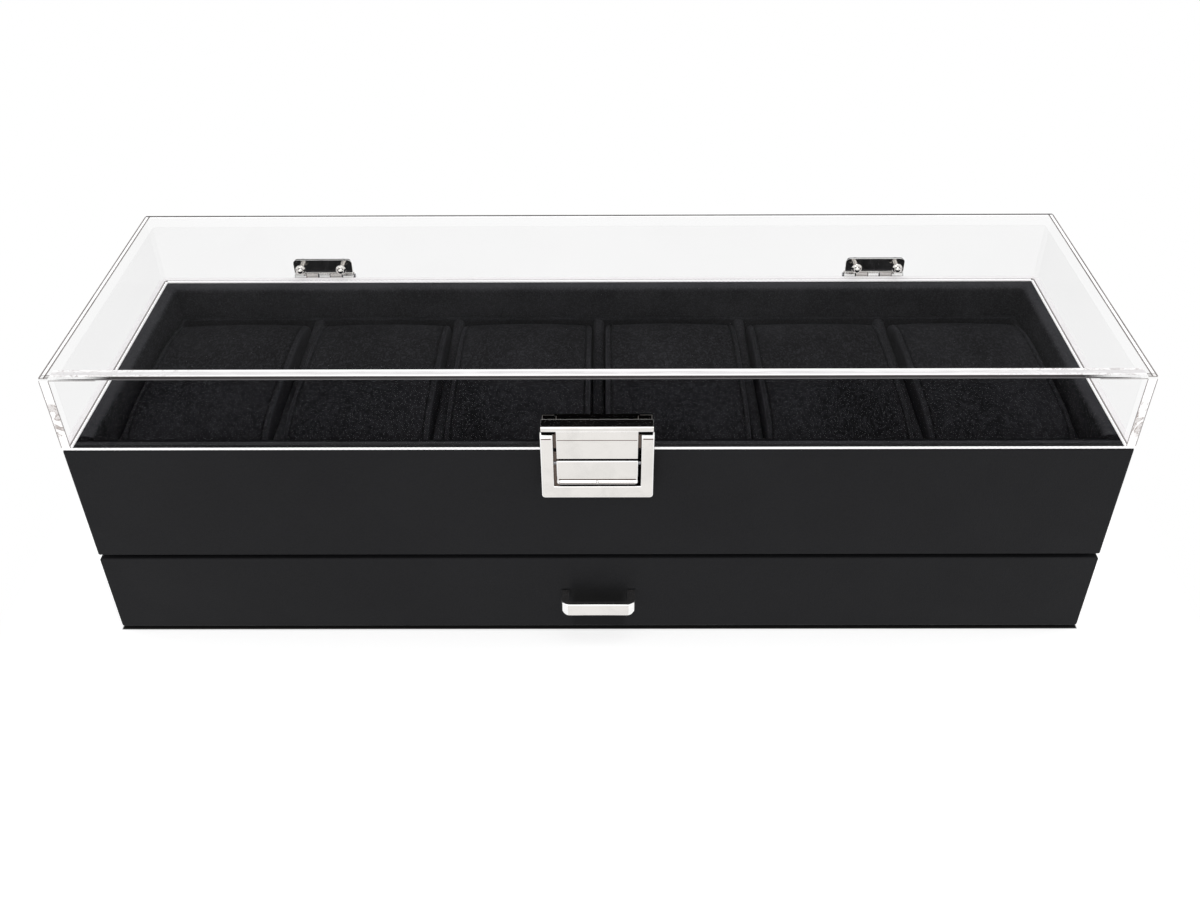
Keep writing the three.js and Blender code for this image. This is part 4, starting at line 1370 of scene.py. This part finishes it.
@dataclass
class Hinges:
    """Two small butt hinges with their screws, bolts and domed nuts."""

    knuckle_gap: float = 0.3
    knuckles: int = 5
    knuckle_radius: float = 1.7
    axis_height: float = 78.4
    thick: float = 0.9
    bore: float = 0.9
    neck: float = 0.6
    corner: float = 1.6
    edge: float = 0.18
    shank: float = 0.9
    pan_tall: float = 1.0
    nut_tall: float = 1.9

    def leaf(self, side: str, upper: bool) -> bpy.types.Object:
        """A leaf: a plate with rounded outer corners, and the knuckles that curl from it."""
        body, way = ("lid", 1) if upper else ("case", -1)
        name = f"{'lid' if upper else 'body'}_leaf_{side}"
        low, high = node_box(name)
        radius, edge, height = self.knuckle_radius, self.edge, self.axis_height
        front, back = low[1], low[1] + self.thick
        clear = radius + self.knuckle_gap
        rounds = (SEAM, SEAM, self.corner, self.corner)[::way]
        ends = (height + clear, high[2]) if upper else (low[2], height - clear)
        shape = Shape().loft(block((low[0], front, ends[0]), (high[0], back, ends[1]), Axis.Y,
                                   rounds, (edge, edge)))
        pitch = (high[0] - low[0] + self.knuckle_gap) / self.knuckles
        wide = pitch - self.knuckle_gap
        profile = np.array([(self.bore, 0.0), (radius - edge, 0.0), (radius, edge),
                            (radius, wide - edge), (radius - edge, wide), (self.bore, wide)])
        for index in range(1 if upper else 0, self.knuckles, 2):
            x = node_box(f"body_leaf_{side}")[0][0] + index * pitch
            shape.loft(turned(profile, (x, front + radius, height), Axis.X))
            shape.loft(strip((x, front + 0.01, height),
                             (x + wide, back - 0.01, height + way * (clear + self.neck)), Axis.Y))
        return piece(f"hinge_{name}", shape, Look.CHROME, body, (name,), trim=Look.HIGHLIGHT_CHROME)

    def head(self, name: str, node: str, body: str) -> bpy.types.Object:
        """A pan head with a cross recess on its shank, or a domed nut.

        It is a disc of rings whose height is the square root of one less the square of the
        radius, less a recess where the place is near either of two crossing bars. The nut has no
        recess, and its dome stands on a sloped flange.
        """
        low, high = node_box(node)
        nut = node.startswith("cap_nut")
        angle = np.arange(48) * 2 * HALF_TURN / 48
        circle = np.stack([np.cos(angle), np.zeros(48), np.sin(angle)], -1)
        centre = (low + high) / 2 * (1, 0, 1)
        if nut:
            cap, flange = 0.64, 0.92
            ring = np.array([1.0, 0.98, flange, cap, 0.62, 0.58, 0.5, 0.38, 0.24, 0.1, 0.03])
            base = np.interp(ring, (cap, flange, 1.0), (0.42, 0.2, 0.1))
            inner, tall, seat = np.minimum(ring / cap, 1), -self.nut_tall, high[1]
        else:
            ring = np.array([1.0, 0.97, 0.88, 0.74, 0.58, 0.44, 0.32, 0.2, 0.1, 0.03])
            inner, base, tall = ring, 0.35, self.pan_tall
            seat = high[1] - tall
        disc = ring[:, None, None] * circle
        across = np.abs(disc[..., ::2])
        dome = (base + 0.6 * np.sqrt(np.maximum(1 - inner ** 2, 0)))[:, None] * np.ones(48)
        thin, far, deep = 0.15, 0.56, 0.62
        cross = (across.min(axis=-1) < thin) & (across.max(axis=-1) < far) & (not nut)
        radius = (high[0] - low[0]) / 2
        points = centre + radius * disc
        points[..., 1] = seat + tall * np.where(cross, dome - deep, dome)
        rings = [] if nut else [centre + self.shank * circle + (0, level, 0)
                                for level in (low[1], seat)]
        rings += [centre + radius * circle + (0, seat, 0), *points]
        return piece(name, Shape().loft(np.stack(rings)), Look.CHROME, body, (node,))

    def build(self) -> list[bpy.types.Object]:
        """Makes the leaves, screws and nuts, and dresses the pins."""
        made = [self.leaf(side, upper) for side in ("left", "right") for upper in (False, True)]
        for index in range(1, 5):
            made += [self.head(f"pan_screw_{index}", f"body_screw_{index}", "case"),
                     self.head(f"pan_bolt_{index}", f"lid_bolt_{index}", "lid"),
                     self.head(f"domed_nut_{index}", f"cap_nut_{index}", "lid")]
        dress(("hinge_pin_left", "hinge_pin_right"), Look.STEEL)
        return made


@dataclass
class Latch:
    """The chromed latch: window frame on the case, folded plate on the lid, pressed flap."""

    edge: float = 0.4
    corner: float = 1.0
    arm: float = 3.95
    sill: float = 4.5
    chamfer: float = 1.3
    depth: float = 3.5
    arm_foot: float = 77.0
    backing_top: float = 77.5
    backing_split: float = -11.85
    tape_half: float = 16.9
    tape_heights: tuple = (84.5, 89.2)
    fold: float = 0.55
    sheet: float = 1.0
    tongue: float = 12.35
    tongue_shade: tuple = (12.0, 13.4)
    bend: float = 85.3
    lean: float = 0.45
    wing: float = 1.55
    rear_foot: float = 79.0
    pivot: tuple = (-56.1, 75.3)
    boss: float = 1.3
    flap_front: float = -58.0
    flap_thick: float = 1.0
    lip: float = 0.6
    lip_tall: float = 1.4
    line: float = 0.06

    def window_frame(self) -> bpy.types.Object:
        """Frame with two arms: a bar bent down one arm, along the sill and up the other.

        The outer and inner curves are rectangles open at the top, and the front of each arm
        falls back over its last stretch.
        """
        low, high = node_box("latch_frame")
        half, arm, chamfer = high[0], self.arm, self.chamfer
        front, back = low[1], low[1] + self.depth
        bottom, top = low[2], high[2]
        ladder = np.array([top, top - chamfer / 2, top - chamfer, top - chamfer - 0.3,
                           (top + bottom) / 2])
        turn = arc((self.corner - half, bottom + self.corner), self.corner, 180, 270, 4)
        inner_turn = np.tile([(arm - half, bottom + self.sill)], (5, 1))
        outer, inner = (
            mirrored(np.concatenate([np.stack([np.full(5, x), ladder], 1), corner]))
            for x, corner in ((-half, turn), (arm - half, inner_turn)))
        fronts = front + np.clip(outer[:, 1] - (top - chamfer), 0, chamfer)
        shape = Shape().loft(bar_between(outer, inner, fronts, back, self.edge, Axis.Y))
        for side in SIDES:
            shape.loft(block((side * (half - 0.1), back - 0.1, self.arm_foot),
                             (side * (half - arm + 0.1), high[1], top - 0.1), Axis.Y, 0.3,
                             (SEAM, 0.1)))
        return piece("latch_window", shape, Look.CHROME, "case", ("latch_frame",),
                     trim=Look.HIGHLIGHT_CHROME)

    def backing(self) -> list[bpy.types.Object]:
        """Plates behind the window, the left one painted light and the right one painted shade;
        painted shade beside the tongue; and dark blocks of painted shade on the fold's inside.
        """
        low, high = node_box("latch_frame")
        strike_low, strike_high = node_box("strike_plate")
        split, front = self.backing_split, low[1] + self.depth - 0.1
        plates = [Shape().loft(block((start, front, low[2] + 0.1),
                                     (end, high[1], self.backing_top), Axis.Y, 0.8, (SEAM, 0.1)))
                  for start, end in ((low[0] + 0.1, split - 0.05), (split + 0.05, high[0] - 0.1))]
        shades, wing_shades = Shape(), Shape()
        for side in SIDES:
            # painted shade: dark blocks under the strike's wings
            wing_shades.loft(block((side * 12.7, strike_low[1] + 0.15, high[2] + 0.1),
                            (side * (strike_high[0] - 0.15), high[1], strike_high[2] - 1.0),
                            Axis.Z, 0.1, steps=1, spans=1))
            shades.loft(block((side * self.tongue_shade[0], -53.25, 78.8),
                              (side * self.tongue_shade[1], -53.02, high[2] - 0.4),
                              Axis.Y, 0.1, steps=1, spans=1))
        # the left back plate glows as painted light in the gap, the right one is painted shade, and
        # the tongue's edges get painted shade
        return [piece("latch_backing_left", plates[0], Look.GAP_LINE, "case"),
                piece("latch_backing_right", plates[1], Look.PAD, "case"),
                piece("tongue_shade", shades, Look.GAP_LINE, "lid"),
                piece("strike_wing_shades", wing_shades, Look.PAD, "lid")]

    def shade_lines(self) -> list[bpy.types.Object]:
        """Fine painted shade lines: at the plate's bend, across the arms' tops and along the lip.

        Each is given by its two ends along X, its place along Y and its two heights.
        """
        bend = node_box("strike_plate")[0][1] - 0.01
        low, high = node_box("latch_frame")
        flap_low, flap_high = node_box("latch_button")
        half, foot = flap_high[0], flap_low[2]
        made = []
        for name, body, bars in (
                ("strike_bend_line", "lid", [(-12.1, 12.1, bend, 85.15, 85.37)]),
                ("latch_arm_lines", "case", [(side * 13.9, side * (high[0] - 0.4), low[1] - 0.01,
                                              85.5, 85.85) for side in SIDES]),
                ("flap_lip_line", "catch", [
                    (0.6 - half, half - 0.6, flap_low[1] - 0.05, foot + 0.45, foot + 0.75),
                    (0.4 - half, half - 0.4, self.flap_front - 0.2, foot + 1.4, foot + 1.58)])):
            shape = Shape()
            for left, right, y, under, over in bars:
                shape.loft(strip((left, y, under), (right, y + self.line, over), Axis.Y, SEAM / 2))
            made.append(piece(name, shape, Look.FOLD_SHADE, body))
        return made

    def pad_behind(self) -> list[bpy.types.Object]:
        """Black adhesive pad behind the clear front sheet, with light edges at its ends."""
        back = node_box("lid_front")[1][1]
        half, (foot, top) = self.tape_half, self.tape_heights
        pad = Shape().loft(block((-half, back + 0.03, foot), (half, back + 0.3, top), Axis.Y, 0.4,
                                 (0.05, 0.05), spans=1))
        posts = [(half - 0.12, half - 0.32, 85.6, top - 0.3), (12.6, 12.4, 85.9, top - 0.6)]
        rails = [(half - 0.3, 13.0, level, level + 0.14) for level in (86.9, top - 0.35)]
        lines = Shape()
        for side in SIDES:
            for start, end, under, over in posts + rails:
                lines.loft(strip((side * start, back + 0.01, under),
                                 (side * end, back + 0.04, over), Axis.Y, SEAM / 2))
        return [piece("strike_tape", pad, Look.PAD, "lid"),
                piece("strike_tape_edges", lines, Look.GHOST, "lid")]

    def strike(self) -> bpy.types.Object:
        """Plate folded from sheet: tongue, bend, front edge, top and rear leaf.

        The sheet follows a path in YZ, its corners small arcs. Its half width steps from the
        tongue's to the wings' where the path passes the foot of the wings, and a Solidify
        modifier gives it its thickness inwards.
        """
        low, high = node_box("strike_plate")
        front, back, top = low[1], high[1], high[2]
        wing_foot, r, lean = top - self.wing, self.fold, self.lean
        path = np.concatenate([
            [(front + lean, low[2]), (front + lean * 0.3, self.bend - 2.2),
             (front + 0.03, self.bend - 0.25), (front, self.bend + 0.25), (front, wing_foot),
             (front, wing_foot)],
            arc((front + r, top - r), r, 180, 90, 4),
            arc((back - r, top - r), r, 90, 0, 4),
            [(back, wing_foot), (back, wing_foot), (back, self.rear_foot)],
        ])
        wide = np.full(len(path), self.tongue)
        wide[5:-2] = high[0]
        points = np.empty((len(path), 9, 3))
        points[..., 0] = wide[:, None] * np.linspace(-1, 1, 9)
        points[..., 1:] = path[:, None]
        shape = Shape()
        shape.grid(points, around=False)
        made = piece("strike_fold", shape, Look.CHROME, "lid", ("strike_plate",), weighted=False)
        made.data.materials.append(Look.HIGHLIGHT_CHROME.value.material())
        if made.data.polygons[0].normal.y > 0:
            made.data.flip_normals()
        sheet = made.modifiers.new("Sheet", "SOLIDIFY")
        sheet.thickness, sheet.offset, sheet.use_even_offset = self.sheet * MM, -1, True
        soften(made, 0.3, 3, math.radians(50), 1)
        flatten(made)
        return made

    def flap(self) -> bpy.types.Object:
        """The press flap: a plate with an outward lip, its lower corners rounded.

        Its section in YZ is carried along X, and towards each end the lower edge rises by a
        quarter circle.
        """
        low, high = node_box("latch_button")
        half, front, lip, curl = high[0], self.flap_front, self.lip, 0.3
        bottom, top, crease = low[2], high[2], low[2] + self.lip_tall
        section = np.concatenate([
            [(front + 0.2, top), (front, top - 0.2), (front, crease + 0.25),
             (front - 0.12, crease - 0.1), (front - lip, bottom + lip)],
            arc((front - lip + curl, bottom + curl), curl, 180, 270, 3),
            [(front + 0.5, bottom), (front + self.flap_thick, crease)],
            arc(self.pivot, self.boss, -60, 60, 6),
        ])
        ends = edge_rounds(-half, half, 0.25, 0.25)
        even = np.linspace(-half + 0.25, half - 0.25, 15)[1:-1]
        near_end = half - np.array([0.45, 0.7, 1.0, 1.4])
        inner = np.unique(np.concatenate([even, near_end, -near_end]))
        profile = np.concatenate([ends[:5], np.stack([np.zeros(len(inner)), inner], 1), ends[5:]])
        rings = slab(section[::-1], profile, Axis.X)
        reach = np.clip(np.abs(rings[..., 0]) - (half - self.corner), 0, self.corner)
        rise = self.corner - np.sqrt(self.corner ** 2 - reach ** 2 * 0.98)
        rings[..., 2] += rise * np.clip((top - rings[..., 2]) / (top - bottom), 0, 1)
        pip = np.array([(0.0, -0.5), (0.28, -0.42), (0.42, -0.2), (0.45, 0.1), (0.2, 0.3)])
        shape = Shape().loft(rings)
        shape.loft(turned(pip, (0, front - 0.35, bottom + 0.95), Axis.Y, 16))
        return piece("press_flap", shape, Look.CHROME, "catch", ("latch_button",),
                     trim=Look.HIGHLIGHT_CHROME)

    def build(self) -> list[bpy.types.Object]:
        """Makes the latch's parts and lines, and dresses the pin and the spring."""
        dress(("latch_pin", "latch_spring"), Look.STEEL)
        return [self.window_frame(), self.strike(), self.flap(), *self.backing(),
                *self.shade_lines(), *self.pad_behind()]


@dataclass
class Drawer:
    """The drawer: wrapped front, suede-covered box, padded floor and bent pull."""

    front_rounds: tuple = (0.4, 0.3)
    front_gap: float = 0.3
    front_corner: float = 0.8
    wall_round: float = 1.2
    wall_corner: float = 1.5
    pad_corner: float = 1.0
    pad_round: float = 0.55
    pull_leg: float = 3.0
    pull_bar: float = 2.0
    pull_bend: float = 3.0
    pull_inner_bend: float = 1.0
    pull_drop_round: float = 2.2
    pull_edge: float = 0.45
    bar_sink: float = 0.6
    body: str = "drawer"

    def walls(self) -> bpy.types.Object:
        """Three walls behind the front, as one bar bent round the box, its top edge rounded."""
        low, high = node_box("drawer_left")
        half, thick, bend = -low[0], high[0] - low[0], self.wall_corner
        front, rear = low[1], high[1]
        outer, inner = (
            mirrored(np.concatenate([[(-x, front), (-x, 0.0)], corner]))
            for x, corner in ((half, arc((bend - half, rear - bend), bend, 180, 90, 4)),
                              (half - thick, np.tile([(thick - half, rear - thick)], (5, 1)))))
        rings = bar_between(outer, inner, low[2], high[2], self.wall_round, Axis.Z)
        return piece("drawer_walls", Shape().loft(rings), Look.LINING, self.body,
                     ("drawer_left", "drawer_right", "drawer_back"))

    def pull(self) -> bpy.types.Object:
        """The pull: a bar bent back at both ends.

        It runs between an outer and an inner curve, and towards each end its lower edge rises by
        a quarter circle, so that the front shows rounded lower corners.
        """
        low, high = node_box("drawer_pull")
        half, front, back = high[0], low[1], high[1]
        curves = []
        for leg, bar, bend, behind in ((0.0, 0.0, self.pull_bend, 1.0),
                                       (self.pull_leg, self.pull_bar, self.pull_inner_bend, 1.5)):
            x, y = leg - half, front + bar
            turn = arc((x + bend, y + bend), bend, 180, 270, 8)
            run = turn[-1] + np.linspace(0, 1, 12)[1:, None] * ((0.0, y) - turn[-1])
            left = np.concatenate([[(x, back), (x, (back + front) / 2 + behind)], turn, run])
            curves.append(mirrored(left, shared=True))
        radius = self.pull_drop_round
        reach = np.clip(np.abs(curves[0][:, 0]) - (half - radius), 0, radius)
        lift = radius - np.sqrt(radius ** 2 - reach ** 2)
        rings = bar_between(*curves, low[2] + lift, high[2] - self.bar_sink, self.pull_edge,
                            Axis.Z)
        return piece("bent_pull", Shape().loft(rings), Look.CHROME, self.body, ("drawer_pull",),
                     trim=Look.HIGHLIGHT_CHROME)

    def build(self) -> list[bpy.types.Object]:
        """Makes the drawer; its face stays a little under the reveal over it."""
        dress(("drawer_bottom",), Look.BOARD)
        dress(("pull_screw_1", "pull_screw_2"), Look.STEEL)
        return [boxed("drawer_face", "drawer_front", Look.DRAWER_WRAP, self.body, Axis.Y,
                      self.front_corner, self.front_rounds, self.front_gap),
                self.walls(),
                boxed("drawer_floor", "drawer_pad", Look.LINING, self.body,
                      corner=self.pad_corner, rounds=(SEAM, self.pad_round)),
                self.pull()]


# Stage, lamps and camera


@dataclass
class Studio:
    """The pale floor, the soft light and the camera at the photograph's place."""

    place: tuple = (0.0027092, -0.3479927, 0.303779)
    yaw: float = 0.3663
    pitch: float = 37.4485
    roll: float = -0.3234
    lens: float = 36.257
    sensor: float = 36.0
    ambient: float = 0.62
    floor_size: float = 6.0
    floor_tone: float = 0.86
    floor_glow: float = 0.55
    painted_shadow_tone: float = 0.02
    covered_half: tuple = (0.165, 0.053)
    painted_shadow_edge: float = 0.0007
    shadow_side: tuple = (0.185, 0.21)
    shadow_rear: tuple = (0.08, 0.12)
    dark_over: tuple = (0.12, 0.32)
    dark_behind: tuple = (-0.15, 0.15)
    dark_under: tuple = (0.82, 0.95)
    target: tuple = (0, 0, 0.05)

    def camera(self) -> None:
        """Sets the camera up by its yaw, its pitch below the horizon and its roll."""
        yaw, pitch, roll = (math.radians(part) for part in (self.yaw, self.pitch, self.roll))
        level = Vector((-math.sin(yaw), math.cos(yaw), 0))
        right = Vector((math.cos(yaw), math.sin(yaw), 0))
        up = Vector((0, 0, 1))
        ahead = level * math.cos(pitch) - up * math.sin(pitch)
        over = level * math.sin(pitch) + up * math.cos(pitch)
        across = right * math.cos(roll) + over * math.sin(roll)
        upright = over * math.cos(roll) - right * math.sin(roll)
        lens = bpy.data.cameras.new("camera")
        lens.lens, lens.sensor_width, lens.sensor_fit = self.lens, self.sensor, "HORIZONTAL"
        lens.clip_start, lens.clip_end = 0.01, 50
        made = show("camera", lens)
        turn = Matrix((across, upright, -ahead)).transposed().to_4x4()
        made.matrix_world = Matrix.Translation(self.place) @ turn
        bpy.context.scene.camera = made

    def world(self) -> None:
        """White where the camera looks, dark high up behind for gloss, plain for the rest."""
        world = bpy.data.worlds.new("studio")
        bpy.context.scene.world = world
        world.use_nodes = True
        graph = Graph(world.node_tree)
        rays = graph.add("LightPath").outputs
        way = graph.xyz(graph.add("TexCoord").outputs["Generated"])
        high = graph.span(way["Z"], *self.dark_over)
        behind = graph.span(way["Y"], *self.dark_behind)
        overhead = graph.span(way["Z"], *self.dark_under, 1.0, 0.35)
        seen = graph.span(graph.times(high, behind, overhead), 0.0, 1.0, 1.0, 0.004)
        clear = graph.maths("MAXIMUM", rays["Is Camera Ray"], rays["Is Transmission Ray"])
        plain = graph.blend(clear, (self.ambient,) * 3 + (1,), WHITE)
        graph.set(world.node_tree.nodes["Background"], Strength=1.0,
                  Color=graph.blend(rays["Is Glossy Ray"], plain, seen))

    def floor(self) -> None:
        """A pale floor that keeps the case's soft shadow and is plain white further off.

        It has a painted contact shadow, dark under the case and fading out just past its foot; it
        is bright in every mirror, and glows a little to the camera.
        """
        size = self.floor_size / MM
        shape = Shape()
        shape.grid(np.array([[(-size, -size, 0), (size, -size, 0)],
                             [(-size, size, 0), (size, size, 0)]]), around=False)
        mesh = shape.mesh("floor")
        if mesh.polygons[0].normal.z < 0:
            mesh.flip_normals()
        show("floor", mesh)
        material = bpy.data.materials.new("pale_floor")
        material.use_nodes = True
        graph = Graph(material.node_tree)
        shader = material.node_tree.nodes["Principled BSDF"]
        rays = graph.add("LightPath").outputs
        place = graph.xyz(graph.place())
        sides = graph.size(place["X"]), graph.size(place["Y"])
        side = graph.span(sides[0], *self.shadow_side)
        rear = graph.span(place["Y"], *self.shadow_rear)
        away = graph.times(graph.maths("MAXIMUM", side, rear), rays["Is Camera Ray"])
        # painted contact shadow: dark and without glow under the case, fading out just past its
        # foot
        beyond = graph.maths("MAXIMUM", *(graph.maths("SUBTRACT", place, half)
                                          for place, half in zip(sides, self.covered_half)))
        beyond_painted_shadow = graph.span(beyond, 0.0, self.painted_shadow_edge)
        tones = ((tone, tone, tone, 1) for tone in (self.painted_shadow_tone, self.floor_tone))
        graph.set(shader, Roughness=0.9, Specular_IOR_Level=0.0,
                  Base_Color=graph.blend(beyond_painted_shadow, *tones))
        glow = graph.times(rays["Is Camera Ray"], graph.times(beyond_painted_shadow, self.floor_glow))
        glow = graph.add("Emission", {"Color": WHITE, "Strength": glow}).outputs[0]
        near = graph.add("AddShader", {0: shader.outputs[0], 1: glow}).outputs[0]
        white = graph.add("Emission", {"Color": WHITE, "Strength": 1.0}).outputs[0]
        lit = graph.add("MixShader", {0: away, 1: near, 2: white}).outputs[0]
        mirror = graph.maths("MAXIMUM", rays["Is Glossy Ray"], rays["Is Transmission Ray"])
        graph.set(material.node_tree.nodes["Material Output"],
                  Surface=graph.add("MixShader", {0: mirror, 1: lit, 2: white}).outputs[0])
        mesh.materials.append(material)

    def lamp(self, name: str, place: tuple, size: float, power: float) -> None:
        """A square soft lamp that faces the case."""
        data = bpy.data.lights.new(name, "AREA")
        data.shape, data.size, data.energy = "SQUARE", size, power
        away = (Vector(place) - Vector(self.target)).normalized()
        turn = away.to_track_quat("Z", "Y").to_matrix().to_4x4()
        show(name, data).matrix_world = Matrix.Translation(place) @ turn

    def build(self) -> None:
        """Sets the whole studio up."""
        bpy.context.scene.view_settings.view_transform = "Standard"
        self.camera()
        self.world()
        self.floor()
        self.lamp("key_overhead", (0.15, 0.1, 1.15), 1.1, 4.4)
        self.lamp("front_fill", (-0.35, -1.0, 0.75), 0.9, 1.6)
        log.info("studio ready")


def main() -> None:
    """Builds every sub-assembly in order."""
    logging.basicConfig(level=logging.INFO, format="%(name)s %(message)s")
    Studio().build()
    assemblies = [CaseBody(), Tray(), Drawer(), Hinges(), Latch(), Lid()]
    assemblies += [Pillow(number) for number in range(1, 7)]
    for assembly in assemblies:
        made = assembly.build()
        log.info("%s: %d pieces", type(assembly).__name__, len(made))
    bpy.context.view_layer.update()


if __name__ == "__main__":
    main()
